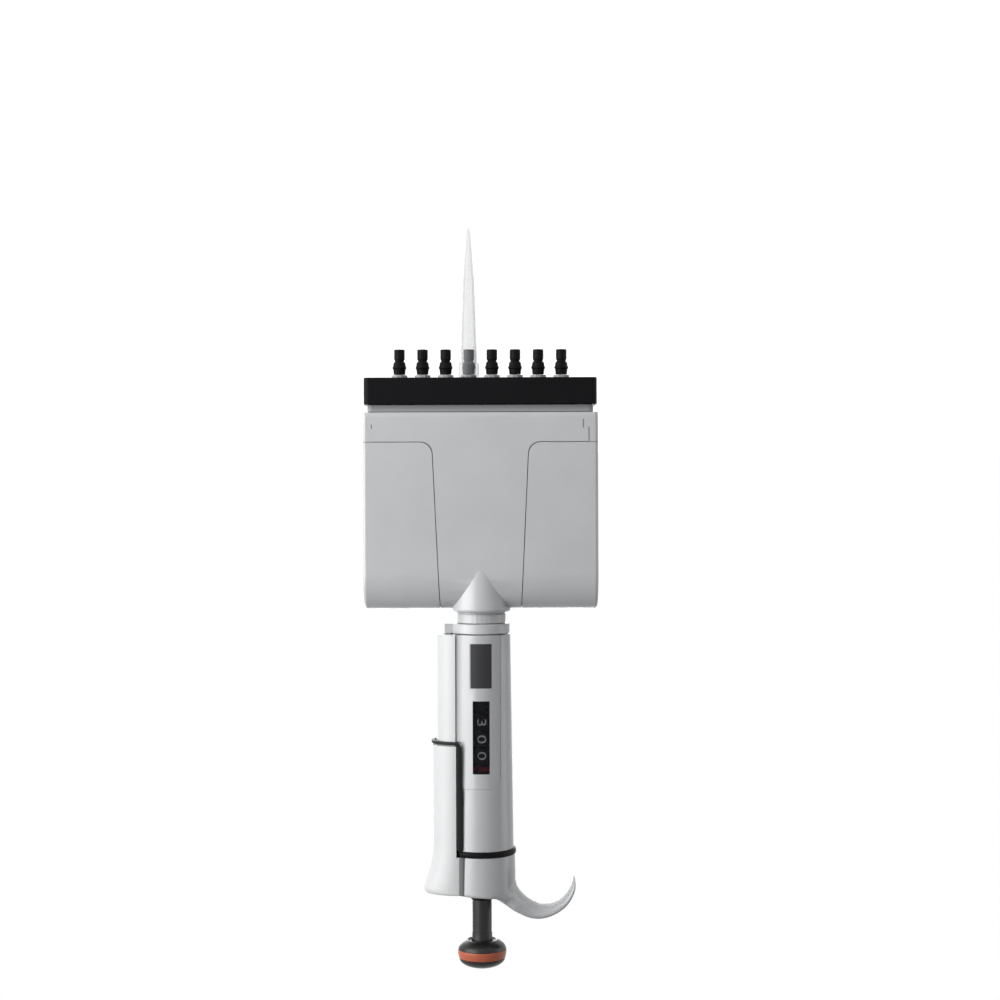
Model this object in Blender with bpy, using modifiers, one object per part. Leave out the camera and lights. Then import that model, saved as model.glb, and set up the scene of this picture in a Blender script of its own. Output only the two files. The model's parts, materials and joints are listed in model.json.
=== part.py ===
"""Eight channel air displacement pipette, 30 to 300 microlitres, standing upright with its tips down.

Metres, +Z up. The handle's axis is Z, the front with the counter faces -Y, the row of cones lies
along X, the ejector button is on +X and the finger hook on -X. z = 0 is the end of the fitted tip.
"""
import math

import bmesh
import bpy
from mathutils import Matrix

MM = 0.001
GAP = 0.3 * MM
PART_NAME = "multichannel_pipette"
small_sides = 10

# Tip cones and the fitted tip
channels = 8
tip_channel = 4
pitch = 9.0 * MM
tip_length = 58.0 * MM
tip_grip = 10.6 * MM
cone_length = 9.7 * MM
cone_radius = 2.07 * MM
cone_rim_radius = 2.75 * MM
cone_bore = 0.7 * MM
sleeve_radius = 3.05 * MM
tip_collar_radius = 4.1 * MM
tip_body_radius = 3.2 * MM
tip_end_radius = 0.75 * MM
tip_wall = 0.45 * MM
tip_bore_clearance = 0.05 * MM

# Ejector bar
bar_end_margin = 13.5 * MM
bar_width = pitch * (channels - 1) + 2 * bar_end_margin
bar_depth = 17.0 * MM
bar_height = 10.4 * MM
bar_above_tip = 0.7 * MM
bar_wall = 2.0 * MM
bar_edge = 0.8 * MM
eject_travel = 4.4 * MM

# Module housing
module_end_margin = 13.8 * MM
module_width = pitch * (channels - 1) + 2 * module_end_margin
module_half_depth = 10.8 * MM
housing_wall = 2.0 * MM
skirt_height = 2.8 * MM
skirt_inset = 1.3 * MM
skirt_end_inset = 1.8 * MM
foot_bevel = 2.3 * MM
band_height = 11.3 * MM
wall_height = 50.2 * MM
shoulder_height = 14.4 * MM
end_rounding = 2.6 * MM
seam_top_half = 15.5 * MM
seam_band_half = 18.3 * MM
seam_fillet = 4.6 * MM
seam_end_inset = 3.7 * MM
neck_radius = module_half_depth - 0.04 * MM
neck_flange_radius = neck_radius + 0.6 * MM
neck_flange_height = 1.2 * MM
neck_wall = 0.9 * MM

# Pumping unit inside the module
stroke = 12.5 * MM
piston_radius = 2.91 * MM
piston_clearance = 0.06 * MM
cylinder_wall = 1.2 * MM
cylinder_length = 27.7 * MM
block_height = 12.0 * MM
carrier_depth = 11.0 * MM
carrier_height = 4.0 * MM
bridge_height = 2.6 * MM
yoke_height = 2.2 * MM
drive_rod_radius = 2.0 * MM
eject_rod_radius = 1.5 * MM
eject_rod_beyond = 8.0 * MM

# Neck between the module and the handle
push_sleeve_radius = 9.55 * MM
push_sleeve_wall = 0.8 * MM
push_sleeve_show = 4.5 * MM
collar_radius = 11.1 * MM
collar_height = 3.9 * MM
neck_tube_radius = 7.9 * MM
neck_tube_wall = 1.9 * MM
spigot_bore = 3.0 * MM

# Handle
handle_high_radius = 12.4 * MM
handle_low_radius = handle_high_radius - 1.05 * MM
handle_wall = 2.0 * MM
handle_length = 83.0 * MM
plate_left = handle_high_radius - 2.8 * MM
plate_right = handle_high_radius - 5.2 * MM
plate_length = 58.8 * MM
plate_thickness = 1.2 * MM
label_width = 8.3 * MM
label_length = 17.2 * MM
label_from_end = 3.2 * MM
window_width = 5.9 * MM
window_length = 27.4 * MM
window_gap = 5.1 * MM
hook_ring_height = 2.7 * MM
hook_collar_height = 14.2 * MM
hook_collar_radius = handle_high_radius + 0.8 * MM
hook_core_radius = handle_low_radius - handle_wall - 0.15 * MM

# Finger hook, an arc about its own centre
hook_saddle_radius = 10.9 * MM
hook_centre_x = -hook_collar_radius - 11.0 * MM
hook_centre_below_top = 6.2 * MM
hook_root_width = 20.0 * MM
hook_middle_width = 13.5 * MM
hook_tip_width = 8.0 * MM

# Ejector guide, button and trim
guide_centre_x = handle_high_radius * 0.669
guide_radius = handle_high_radius * 0.742
guide_wall = 1.4 * MM
guide_length = 43.0 * MM
button_centre_x = handle_high_radius * 0.685
button_radius = handle_high_radius * 0.863
button_wall = 1.3 * MM
button_edge_x = handle_high_radius * 0.782
button_edge_high_x = handle_high_radius * 0.637
button_flare = 3.6 * MM
button_flare_height = 17.0 * MM
trim_band = 1.4 * MM
trim_width = 2.5 * MM
trim_width_at_plate = trim_width * 0.72
trim_proud = 0.2 * MM
trim_slide_clearance = 0.75 * MM
arm_x = handle_high_radius + 1.0 * MM
arm_thickness = 1.6 * MM
arm_width = 5.0 * MM
tab_reach = 3.5 * MM
tab_width = 3.0 * MM
tab_spring_radius = 1.1 * MM
tab_spring_wire = 0.22 * MM
tab_spring_length = 15.0 * MM

# Counter, plunger and knob
drum_radius = handle_low_radius - handle_wall - 0.55 * MM
drum_pitch = 6.4 * MM
drum_bore = drum_radius - 2.9 * MM
units_from_window_end = 6.4 * MM
rod_radius = 2.0 * MM
stem_radius = 3.675 * MM
stem_show = 18.2 * MM
knob_radius = 9.25 * MM
knob_height = 12.0 * MM
knob_ring_height = 3.2 * MM
sleeve_wall = 1.6 * MM
sleeve_from_top = 9.0 * MM
bearing_height = 5.0 * MM
bush_step = 5.0 * MM
bush_depth = 11.0 * MM
handle_step = 2.4 * MM
spring_wire = 0.3 * MM
spring_radius = 4.3 * MM
spring_turns = 6

# Levels along Z
cone_end_z = tip_length - tip_grip
bar_low_z = tip_length + bar_above_tip
bar_high_z = bar_low_z + bar_height
skirt_low_z = bar_high_z + GAP
housing_low_z = skirt_low_z + skirt_height
band_z = housing_low_z + band_height
shoulder_z = band_z + wall_height
module_top_z = shoulder_z + shoulder_height
neck_top_z = module_top_z + 0.9 * MM
collar_low_z = neck_top_z + push_sleeve_show + GAP
handle_low_z = collar_low_z + collar_height + GAP
handle_high_z = handle_low_z + handle_length
hook_low_z = handle_high_z + hook_ring_height + GAP
hook_top_z = hook_low_z + hook_collar_height
knob_low_z = hook_top_z + stem_show
knob_top_z = knob_low_z + knob_height

block_top_z = skirt_low_z + block_height
eject_rod_x = pitch * (channels - 1) / 2 + eject_rod_beyond
spigot_radius = neck_tube_radius - neck_tube_wall - GAP
ring_from_top = 4.5 * MM
knob_socket = 6.0 * MM
cylinder_low_z = block_top_z + GAP
cylinder_top_z = cylinder_low_z + cylinder_length
carrier_low_z = cylinder_top_z + stroke + 1.2 * MM
carrier_top_z = carrier_low_z + carrier_height
bridge_low_z = carrier_top_z + 0.5 * MM
bridge_top_z = bridge_low_z + bridge_height
yoke_low_z = bridge_top_z + eject_travel + 0.4 * MM
yoke_top_z = yoke_low_z + yoke_height

neck_tube_top_z = handle_low_z + 3.4 * MM
spring_low_z = neck_tube_top_z + GAP
units_z = handle_low_z + label_from_end + label_length + window_gap + window_length - units_from_window_end
tens_z = units_z - drum_pitch
hundreds_z = tens_z - drum_pitch
drum_height = drum_pitch - GAP
core_low_z = hundreds_z - drum_pitch / 2 - 3.6 * MM
core_flange = 2.4 * MM
rod_collar_height = 1.1 * MM
rod_collar_z = core_low_z - GAP - rod_collar_height
guide_high_z = handle_low_z + guide_length
button_low_z = guide_high_z - 2.0 * MM
plate_high_z = handle_low_z + plate_length
tab_z = guide_high_z + tab_spring_length
handle_bore = handle_low_radius - handle_wall


# Scene, materials and collections

for old in list(bpy.data.objects):
    bpy.data.objects.remove(old, do_unlink=True)

parts = bpy.data.collections.new(PART_NAME)
cutters = bpy.data.collections.new("cutters")
bpy.context.scene.collection.children.link(parts)
bpy.context.scene.collection.children.link(cutters)


def material(name, colour, roughness, metallic=0.0, alpha=1.0):
    made = bpy.data.materials.new(name)
    made.use_nodes = True
    shader = made.node_tree.nodes["Principled BSDF"]
    shader.inputs["Base Color"].default_value = (*colour, 1.0)
    shader.inputs["Roughness"].default_value = roughness
    shader.inputs["Metallic"].default_value = metallic
    shader.inputs["Alpha"].default_value = alpha
    return made


grey_shell = material("grey_shell", (0.50, 0.51, 0.52), 0.42)
white_shell = material("white_shell", (0.78, 0.79, 0.79), 0.38)
black_plastic = material("black_plastic", (0.012, 0.012, 0.013), 0.5)
dark_plastic = material("dark_plastic", (0.03, 0.028, 0.027), 0.45)
orange_plastic = material("orange_plastic", (0.53, 0.11, 0.04), 0.4)
clear_plastic = material("clear_plastic", (0.85, 0.86, 0.87), 0.2, alpha=0.5)
window_black = material("window_black", (0.01, 0.01, 0.014), 0.15)
label_grey = material("label_grey", (0.026, 0.026, 0.028), 0.5)
steel = material("steel", (0.55, 0.55, 0.56), 0.3, 1.0)
inner_plastic = material("inner_plastic", (0.62, 0.62, 0.60), 0.5)


# Modelling helpers

def place(name, mesh, look, cutter=False):
    made = bpy.data.objects.new(name, mesh)
    if cutter:
        cutters.objects.link(made)
        made.hide_render = True
        made.display_type = 'WIRE'
    else:
        parts.objects.link(made)
        mesh.materials.append(look)
    return made


def turned(name, profile, look=None, centre=(0.0, 0.0), sides=32, cutter=False):
    """A profile of (radius, z) turned about Z, from the top down its outer side.
    It is open when both ends lie on the axis and a closed loop otherwise."""
    mesh = bpy.data.meshes.new(name)
    last = len(profile) - 1
    edges = [(i, i + 1) for i in range(last)]
    if profile[0][0] > 0:
        edges.append((last, 0))
    mesh.from_pydata([(r, 0.0, z) for r, z in profile], edges, [])
    made = place(name, mesh, look, cutter)
    made.location = (centre[0], centre[1], 0.0)
    screw = made.modifiers.new("turn", 'SCREW')
    screw.axis = 'Z'
    screw.angle = 2 * math.pi
    screw.steps = sides
    screw.render_steps = sides
    screw.use_merge_vertices = True
    screw.merge_threshold = 0.00001
    return made


def disc(name, radius, low, high, look=None, centre=(0.0, 0.0), sides=32, cutter=False):
    profile = [(0.0, high), (radius, high), (radius, low), (0.0, low)]
    return turned(name, profile, look, centre, sides, cutter)


def ring(name, inner, outer, low, high, look=None, centre=(0.0, 0.0), sides=32, cutter=False):
    profile = [(outer, high), (outer, low), (inner, low), (inner, high)]
    return turned(name, profile, look, centre, sides, cutter)


def box(name, x, y, z, look=None, cutter=False, bevel=0.0):
    """A box between the pairs x, y and z, with its edges rounded by bevel."""
    work = bmesh.new()
    size = (x[1] - x[0], y[1] - y[0], z[1] - z[0])
    middle = ((x[0] + x[1]) / 2, (y[0] + y[1]) / 2, (z[0] + z[1]) / 2)
    shape = Matrix.Translation(middle) @ Matrix.Diagonal((*size, 1.0))
    bmesh.ops.create_cube(work, size=1.0, matrix=shape)
    mesh = bpy.data.meshes.new(name)
    work.to_mesh(mesh)
    work.free()
    made = place(name, mesh, look, cutter)
    if bevel > 0:
        rounded(made, bevel)
    return made


def rounded(made, width, segments=2, angle=60):
    soft = made.modifiers.new("rounded edges", 'BEVEL')
    soft.width = width
    soft.segments = segments
    soft.limit_method = 'ANGLE'
    soft.angle_limit = math.radians(angle)
    return made


AXES = {
    "X": Matrix(((0, 0, 1, 0), (1, 0, 0, 0), (0, 1, 0, 0), (0, 0, 0, 1))),
    "Y": Matrix(((1, 0, 0, 0), (0, 0, -1, 0), (0, 1, 0, 0), (0, 0, 0, 1))),
    "Z": Matrix.Identity(4),
}


def prism(name, outline, low, high, axis, look=None, cutter=False):
    """An outline extruded from low to high along axis. It is drawn in (Y, Z), (X, Z) or (X, Y)."""
    flat = bpy.data.curves.new(name, 'CURVE')
    flat.dimensions = '2D'
    flat.fill_mode = 'BOTH'
    flat.extrude = (high - low) / 2
    line = flat.splines.new('POLY')
    line.points.add(len(outline) - 1)
    for point, (a, b) in zip(line.points, outline):
        point.co = (a, b, 0.0, 1.0)
    line.use_cyclic_u = True
    holder = bpy.data.objects.new(name, flat)
    bpy.context.scene.collection.objects.link(holder)
    bpy.context.view_layer.update()
    shape = bpy.data.meshes.new_from_object(holder.evaluated_get(bpy.context.evaluated_depsgraph_get()))
    bpy.data.objects.remove(holder, do_unlink=True)
    middle = (high + low) / 2
    along = {"X": (middle, 0, 0), "Y": (0, middle, 0), "Z": (0, 0, middle)}[axis]
    work = bmesh.new()
    work.from_mesh(shape)
    bmesh.ops.remove_doubles(work, verts=work.verts, dist=0.000001)
    bmesh.ops.transform(work, matrix=Matrix.Translation(along) @ AXES[axis], verts=work.verts)
    work.to_mesh(shape)
    work.free()
    shape.name = name
    shape.materials.clear()
    return place(name, shape, look, cutter)


def combine(made, other, operation='DIFFERENCE', solver='EXACT'):
    step = made.modifiers.new(operation.lower() + " " + other.name, 'BOOLEAN')
    step.operation = operation
    step.object = other
    step.solver = solver
    return made


def row(made, count=channels, spacing=pitch):
    """Repeats a piece along X."""
    copies = made.modifiers.new("row", 'ARRAY')
    copies.count = count
    copies.use_relative_offset = False
    copies.use_constant_offset = True
    copies.constant_offset_displace = (spacing, 0.0, 0.0)
    return made


def arc(centre, radius, start, end, steps):
    """Points on an arc from start to end, in degrees."""
    turns = [math.radians(start + (end - start) * i / steps) for i in range(steps + 1)]
    return [(centre[0] + radius * math.cos(t), centre[1] + radius * math.sin(t)) for t in turns]


def bar_outline(half_x, half_y, corner, steps=4):
    """A rectangle with rounded corners, centred on the origin."""
    x = half_x - corner
    y = half_y - corner
    points = arc((x, y), corner, 0, 90, steps)
    points += arc((-x, y), corner, 90, 180, steps)
    points += arc((-x, -y), corner, 180, 270, steps)
    points += arc((x, -y), corner, 270, 360, steps)
    return points


# Pieces at the working end

def channel_x(i):
    return pitch * (i - (channels - 1) / 2)


def tip_cones():
    end = cone_end_z
    profile = [
        (cone_radius, end + cone_length),
        (cone_radius, end + cone_length * 0.95),
        (cone_rim_radius, end + cone_length * 0.78),
        (cone_rim_radius, end + cone_length * 0.73),
        (cone_radius * 1.04, end + cone_length * 0.55),
        (cone_radius * 0.74, end + cone_length * 0.48),
        (cone_radius, end + cone_length * 0.39),
        (cone_radius, end + cone_length * 0.04),
        (cone_radius * 0.93, end),
        (cone_bore, end),
        (cone_bore, end + cone_length),
    ]
    for i in range(channels):
        turned(f"tip_cone_{i + 1}", profile, black_plastic, (channel_x(i), 0), small_sides)


def pipette_tip():
    seat = cone_rim_radius + tip_bore_clearance
    throat = cone_radius + tip_bore_clearance
    top = tip_length
    profile = [
        (tip_collar_radius, top),
        (tip_collar_radius, top - 5.2 * MM),
        (tip_body_radius + 0.3 * MM, top - 6.2 * MM),
        (tip_body_radius, top - 9.0 * MM),
        (tip_body_radius * 0.67, tip_length * 0.3),
        (tip_end_radius, 0.0),
        (tip_end_radius - tip_wall, 0.0),
        (tip_body_radius * 0.67 - tip_wall, tip_length * 0.31),
        (throat, top - tip_grip - 0.6 * MM),
        (throat, top - 6.6 * MM),
        (seat + 0.1 * MM, top - 5.0 * MM),
        (sleeve_radius + tip_bore_clearance + 0.1 * MM, top),
    ]
    return turned("pipette_tip", profile, clear_plastic, (channel_x(tip_channel), 0), 18)


def ejector_bar():
    outline = bar_outline(bar_width / 2, bar_depth / 2, 2.0 * MM)
    bar = prism("ejector_bar", outline, bar_low_z, bar_high_z, "Z", black_plastic)
    rounded(bar, bar_edge, 1, 80)
    hollow = box("bar_hollow", (-bar_width / 2 + bar_wall, bar_width / 2 - bar_wall),
                 (-bar_depth / 2 + bar_wall, bar_depth / 2 - bar_wall),
                 (bar_low_z + bar_wall, bar_high_z + bar_wall), cutter=True)
    combine(bar, hollow, 'DIFFERENCE', 'MANIFOLD')
    for side in (-1, 1):
        post = disc("bar_post_" + ("left" if side < 0 else "right"), eject_rod_radius * 2,
                    bar_low_z + bar_wall / 2, bar_high_z - GAP, None, (side * eject_rod_x, 0), 16, True)
        combine(bar, post, 'UNION', 'MANIFOLD')
    holes = disc("bar_holes", sleeve_radius + 0.4 * MM, bar_low_z - bar_wall, bar_high_z + bar_wall,
                 None, (channel_x(0), 0), small_sides, True)
    return combine(bar, row(holes), 'DIFFERENCE', 'MANIFOLD')


# Module

def housing_outline(inset, low_z):
    """Half section of the module in (Y, Z): straight walls under an elliptical shoulder."""
    half = module_half_depth - inset
    crown = shoulder_height - inset
    steps = 9
    back = [(half * math.cos(math.pi / 2 * i / steps), shoulder_z + crown * math.sin(math.pi / 2 * i / steps))
            for i in range(steps + 1)]
    front = [(-y, z) for y, z in reversed(back[:-1])]
    if inset > 0:
        return back + front + [(-half, low_z), (half, low_z)]
    bevel_z = housing_low_z + foot_bevel
    foot = half - skirt_inset
    return (back + front + [(-half, bevel_z), (-foot, housing_low_z), (-foot, low_z)]
            + [(foot, low_z), (foot, housing_low_z), (half, bevel_z)])


def housing_body(name):
    """The hollow housing before it is divided into its covers."""
    half = module_width / 2
    shell = prism(name, housing_outline(0.0, housing_low_z - 5 * MM), -half, half, "X", grey_shell)
    rounded(shell, end_rounding, 3, 70)
    tube = [
        (0.0, neck_top_z),
        (neck_flange_radius - 0.4 * MM, neck_top_z),
        (neck_flange_radius, neck_top_z - 0.4 * MM),
        (neck_flange_radius, neck_top_z - neck_flange_height),
        (neck_radius, neck_top_z - neck_flange_height - 1.2 * MM),
        (neck_radius, shoulder_z + 1 * MM),
        (0.0, shoulder_z + 1 * MM),
    ]
    combine(shell, turned(name + "_neck", tube, None, (0, 0), 40, True), 'UNION', 'MANIFOLD')
    room = prism(name + "_room", housing_outline(housing_wall, housing_low_z - 9 * MM),
                 -half + housing_wall, half - housing_wall, "X", None, True)
    combine(shell, room, 'DIFFERENCE', 'MANIFOLD')
    bore = disc(name + "_bore", neck_radius - neck_wall, yoke_low_z - eject_travel - GAP, neck_top_z + 2 * MM,
                None, (0, 0), 36, True)
    return combine(shell, bore, 'DIFFERENCE', 'MANIFOLD')


def seam_outline(clearance):
    """The T shaped front of the centre cover, in (X, Z), with a filleted inner corner."""
    wide = module_width / 2 - seam_end_inset + clearance
    low = housing_low_z
    band = band_z + clearance
    top = neck_top_z + 3 * MM
    slope = (seam_band_half - seam_top_half) / (module_top_z - band_z)
    corner_x = seam_band_half + clearance
    top_x = seam_band_half - slope * (top - band_z) + clearance
    fillet = arc((corner_x + seam_fillet, band + seam_fillet), seam_fillet, -90, -180, 5)
    right = [(wide, band)] + fillet + [(top_x, top)]
    left = [(-x, z) for x, z in reversed(right)]
    return [(wide, low)] + right + left + [(-wide, low)]


def seam_tool(name, clearance, low_y, high_y):
    return prism(name, seam_outline(clearance), low_y, high_y, "Y", None, True)


def module_covers():
    reach = module_half_depth + 5 * MM
    front = housing_body("module_front_cover")
    combine(front, seam_tool("front_cover_shape", 0.0, -reach, -GAP / 2), 'INTERSECT', 'MANIFOLD')
    back = housing_body("module_back_cover")
    combine(back, seam_tool("back_cover_shape", 0.0, GAP / 2, reach), 'INTERSECT', 'MANIFOLD')
    for side, name in ((-1, "module_left_cover"), (1, "module_right_cover")):
        cover = housing_body(name)
        combine(cover, seam_tool(name + "_seam", GAP, -reach, reach))
        combine(cover, box(name + "_other_side", tuple(sorted((0, -side * module_width))), (-reach, reach),
                           (housing_low_z - 10 * MM, neck_top_z + 5 * MM), None, True))
        combine(cover, box(name + "_below", (-module_width, module_width), (-reach, reach),
                           (housing_low_z - 10 * MM, housing_low_z), None, True))


def rod_holes(made, name, low, high):
    for side, end in ((-1, "left"), (1, "right")):
        combine(made, disc(f"{name}_rod_hole_{end}", eject_rod_radius + GAP, low - 1 * MM, high + 1 * MM,
                           None, (side * eject_rod_x, 0), small_sides, True))
    return made


def cylinder_block():
    """The block that carries the covers, with a nozzle below and a cylinder above for each channel."""
    half_x = module_width / 2 - skirt_end_inset
    half_y = module_half_depth - skirt_inset
    skirt = bar_outline(half_x, half_y, 1.6 * MM, 3)
    block = prism("cylinder_block", skirt, skirt_low_z, housing_low_z - GAP, "Z", grey_shell)
    inner = bar_outline(module_width / 2 - housing_wall - GAP, module_half_depth - housing_wall - GAP, 1.0 * MM, 1)
    combine(block, prism("block_top", inner, housing_low_z - 1 * MM, block_top_z, "Z", None, True), 'UNION')
    rod_holes(block, "block", skirt_low_z, block_top_z)
    bore = piston_radius + piston_clearance
    nozzle_low_z = cone_end_z + cone_length + GAP
    nozzles = disc("nozzles", sleeve_radius, nozzle_low_z, block_top_z - 1 * MM, None,
                   (channel_x(0), 0), small_sides, True)
    combine(block, row(nozzles), 'UNION')
    barrels = disc("cylinders", bore + cylinder_wall, block_top_z - 1 * MM, cylinder_top_z, None,
                   (channel_x(0), 0), small_sides, True)
    combine(block, row(barrels), 'UNION')
    profile = [
        (0.0, cylinder_top_z + 1 * MM),
        (bore, cylinder_top_z + 1 * MM),
        (bore, cylinder_low_z),
        (cone_bore, cylinder_low_z - 1 * MM),
        (cone_bore, nozzle_low_z - 1 * MM),
        (0.0, nozzle_low_z - 1 * MM),
    ]
    combine(block, row(turned("cylinder_bores", profile, None, (channel_x(0), 0), small_sides, True)))
    return block


def pistons():
    low = cylinder_low_z + stroke + 1.2 * MM
    for i in range(channels):
        disc(f"piston_{i + 1}", piston_radius, low, carrier_low_z - GAP, steel, (channel_x(i), 0), small_sides)


def piston_carrier():
    half = channel_x(channels - 1) + piston_radius + 2 * MM
    outline = bar_outline(half, carrier_depth / 2, 2 * MM)
    return prism("piston_carrier", outline, carrier_low_z, carrier_top_z, "Z", inner_plastic)


def drive_rod():
    top = spring_low_z + 0.2 * MM
    return disc("drive_rod", drive_rod_radius, carrier_top_z + GAP, top, steel, (0, 0), 16)


def module_bridge():
    half_x = module_width / 2 - housing_wall - GAP
    outline = bar_outline(half_x, module_half_depth - housing_wall - GAP, 1 * MM, 1)
    bridge = prism("module_bridge", outline, bridge_low_z, bridge_top_z, "Z", inner_plastic)
    combine(bridge, disc("bridge_bore", drive_rod_radius + GAP, bridge_low_z - 1 * MM, bridge_top_z + 1 * MM,
                         None, (0, 0), 16, True))
    return rod_holes(bridge, "bridge", bridge_low_z, bridge_top_z)


def ejector_yoke():
    half_x = eject_rod_x + eject_rod_radius
    outline = bar_outline(half_x, 5.0 * MM, 1.4 * MM, 2)
    yoke = prism("ejector_yoke", outline, yoke_low_z, yoke_top_z, "Z", inner_plastic)
    combine(yoke, disc("yoke_rim", push_sleeve_radius, yoke_low_z, yoke_top_z, None, (0, 0), 32, True), 'UNION')
    return combine(yoke, disc("yoke_bore", spigot_radius + GAP, yoke_low_z - 1 * MM, yoke_top_z + 1 * MM,
                              None, (0, 0), 24, True))


def push_sleeve():
    outer = push_sleeve_radius
    inner = outer - push_sleeve_wall
    top = neck_top_z + push_sleeve_show
    groove = neck_top_z + 1.0 * MM
    profile = [
        (outer, top),
        (outer, groove + 0.3 * MM),
        (outer - 0.3 * MM, groove),
        (outer, groove - 0.3 * MM),
        (outer, yoke_top_z + GAP),
        (inner, yoke_top_z + GAP),
        (inner, top),
    ]
    return turned("ejector_push_sleeve", profile, grey_shell, (0, 0), 32)


def ejector_rods():
    for side, name in ((-1, "ejector_rod_left"), (1, "ejector_rod_right")):
        disc(name, eject_rod_radius, bar_high_z, yoke_low_z - GAP, steel, (side * eject_rod_x, 0), 12)


def swivel_spigot():
    return ring("swivel_spigot", spigot_bore, spigot_radius, bridge_top_z + GAP, neck_tube_top_z - 2 * MM,
                inner_plastic, (0, 0), 24)


# Handle

def handle_radius(z):
    share = (z - handle_low_z) / (handle_high_z - handle_low_z)
    return handle_low_radius + (handle_high_radius - handle_low_radius) * share


def handle_body():
    low = handle_low_z
    high = handle_high_z
    inner = handle_bore
    profile = [
        (inner - handle_step, hook_top_z - bush_step),
        (hook_core_radius, hook_top_z - bush_step),
        (hook_core_radius, high),
        (handle_high_radius, high),
        (handle_low_radius, low + 0.4 * MM),
        (handle_low_radius - 0.4 * MM, low),
        (inner, low),
        (inner, high - 4 * MM),
        (inner - handle_step, high - 2 * MM),
    ]
    body = turned("handle_body", profile, grey_shell, (0, 0), 48)
    seat_low = low - 1 * MM
    seat_high = low + plate_length + GAP
    seat = plate_blank("plate_seat", GAP, plate_thickness + GAP, seat_low, seat_high, True)
    combine(body, window_slot("counter_slot", 0.5 * MM, True))
    return combine(body, seat)


def plate_blank(name, clearance, depth, low, high, cutter, look=None):
    """The curved front plate: a layer of the handle's skin between its two side seams."""
    left = plate_left + clearance
    right = -plate_right - clearance
    corner = 4.0 * MM
    outline = [(right, low), (left, low), (left, high)]
    outline += arc((right + corner, high - corner), corner, 90, 180, 4)
    blank = prism(name, outline, -handle_high_radius - 2 * MM, 0.0, "Y", look, cutter)
    core = turned(name + "_core", [
        (0.0, high + 5 * MM),
        (handle_radius(high + 5 * MM) - depth, high + 5 * MM),
        (handle_radius(low - 5 * MM) - depth, low - 5 * MM),
        (0.0, low - 5 * MM)], None, (0, 0), 48, True)
    combine(blank, core)
    return blank


def window_plate():
    low = handle_low_z
    high = handle_low_z + plate_length
    plate = plate_blank("window_plate", 0.0, plate_thickness, low, high, False, grey_shell)
    skin = turned("plate_skin", [
        (0.0, handle_high_z),
        (handle_high_radius, handle_high_z),
        (handle_low_radius, low),
        (0.0, low)], None, (0, 0), 48, True)
    combine(plate, skin, 'INTERSECT')
    combine(plate, window_slot("lens_seat", GAP, True))
    return combine(plate, label_slot("label_seat", GAP, -handle_high_radius - 2 * MM, True))


def window_low():
    return handle_low_z + label_from_end + label_length + window_gap


def window_slot(name, clearance, cutter, look=None, low_y=-handle_high_radius - 2 * MM, high_y=-4 * MM):
    """The counter's window, in the plate and the handle behind it."""
    half = window_width / 2 + clearance
    return box(name, (-half, half), (low_y, high_y),
               (window_low() - clearance, window_low() + window_length + clearance), look, cutter)


def label_slot(name, clearance, low_y, cutter, look=None):
    half = label_width / 2 + clearance
    low = handle_low_z + label_from_end
    return box(name, (-half, half), (low_y, 0.0),
               (low - clearance, low + label_length + clearance), look, cutter)


def skin_layer(made, name, low, high, outside, inside):
    """Trims a blank to a layer of the handle's skin."""
    outer = turned(name + "_outer", [
        (0.0, high),
        (handle_radius(high) - outside, high),
        (handle_radius(low) - outside, low),
        (0.0, low)], None, (0, 0), 48, True)
    inner = turned(name + "_inner", [
        (0.0, high + 1 * MM),
        (handle_radius(high) - inside, high + 1 * MM),
        (handle_radius(low) - inside, low - 1 * MM),
        (0.0, low - 1 * MM)], None, (0, 0), 48, True)
    combine(made, outer, 'INTERSECT')
    return combine(made, inner)


def label_inlay():
    inlay = label_slot("label_inlay", 0.0, -handle_high_radius - 2 * MM, False, label_grey)
    low = handle_low_z + label_from_end - 1 * MM
    high = low + label_length + 2 * MM
    return skin_layer(inlay, "label", low, high, 0.1 * MM, plate_thickness)


def display_lens():
    lens = window_slot("display_lens", 0.0, False, window_black, high_y=-2 * MM)
    low = window_low() - 1 * MM
    high = low + window_length + 2 * MM
    return skin_layer(lens, "lens", low, high, 0.1 * MM, handle_wall)


def hook_ring():
    return ring("hook_ring", hook_core_radius + GAP, hook_collar_radius + 0.2 * MM, handle_high_z + GAP,
                hook_low_z - GAP, black_plastic, (0, 0), 40)


def stem_bush():
    inner = stem_radius + GAP
    profile = [
        (hook_core_radius, hook_top_z - GAP),
        (hook_core_radius, hook_top_z - bush_step + GAP),
        (handle_bore - handle_step - GAP, hook_top_z - bush_step + GAP),
        (handle_bore - handle_step - GAP, hook_top_z - bush_depth),
        (inner, hook_top_z - bush_depth),
        (inner, hook_top_z - GAP),
    ]
    return turned("stem_bush", profile, dark_plastic, (0, 0), 24)


# Finger hook

def hook_thickness(angle):
    """Thickness of the hook along its arc: thin at the tip, deep where it runs into the collar."""
    design = ((18, 9.8), (32, 9.3), (38, 8.2), (58, 6.6), (80, 6.25), (98, 6.2), (117, 5.4), (138, 3.8), (160, 2.6),
              (172, 1.6), (180, 0.8))
    for (a0, t0), (a1, t1) in zip(design, design[1:]):
        if angle <= a1:
            return (t0 + (t1 - t0) * (angle - a0) / (a1 - a0)) * MM
    return design[-1][1] * MM


def hook_width(angle):
    """Width of the hook along its arc: as wide as the collar's chord at the root, narrow at the tip."""
    design = ((18, hook_root_width), (60, hook_middle_width), (130, hook_middle_width * 0.86), (180, hook_tip_width))
    for (a0, w0), (a1, w1) in zip(design, design[1:]):
        if angle <= a1:
            share = (angle - a0) / (a1 - a0)
            return w0 + (w1 - w0) * share * share * (3 - 2 * share)
    return hook_tip_width


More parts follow.
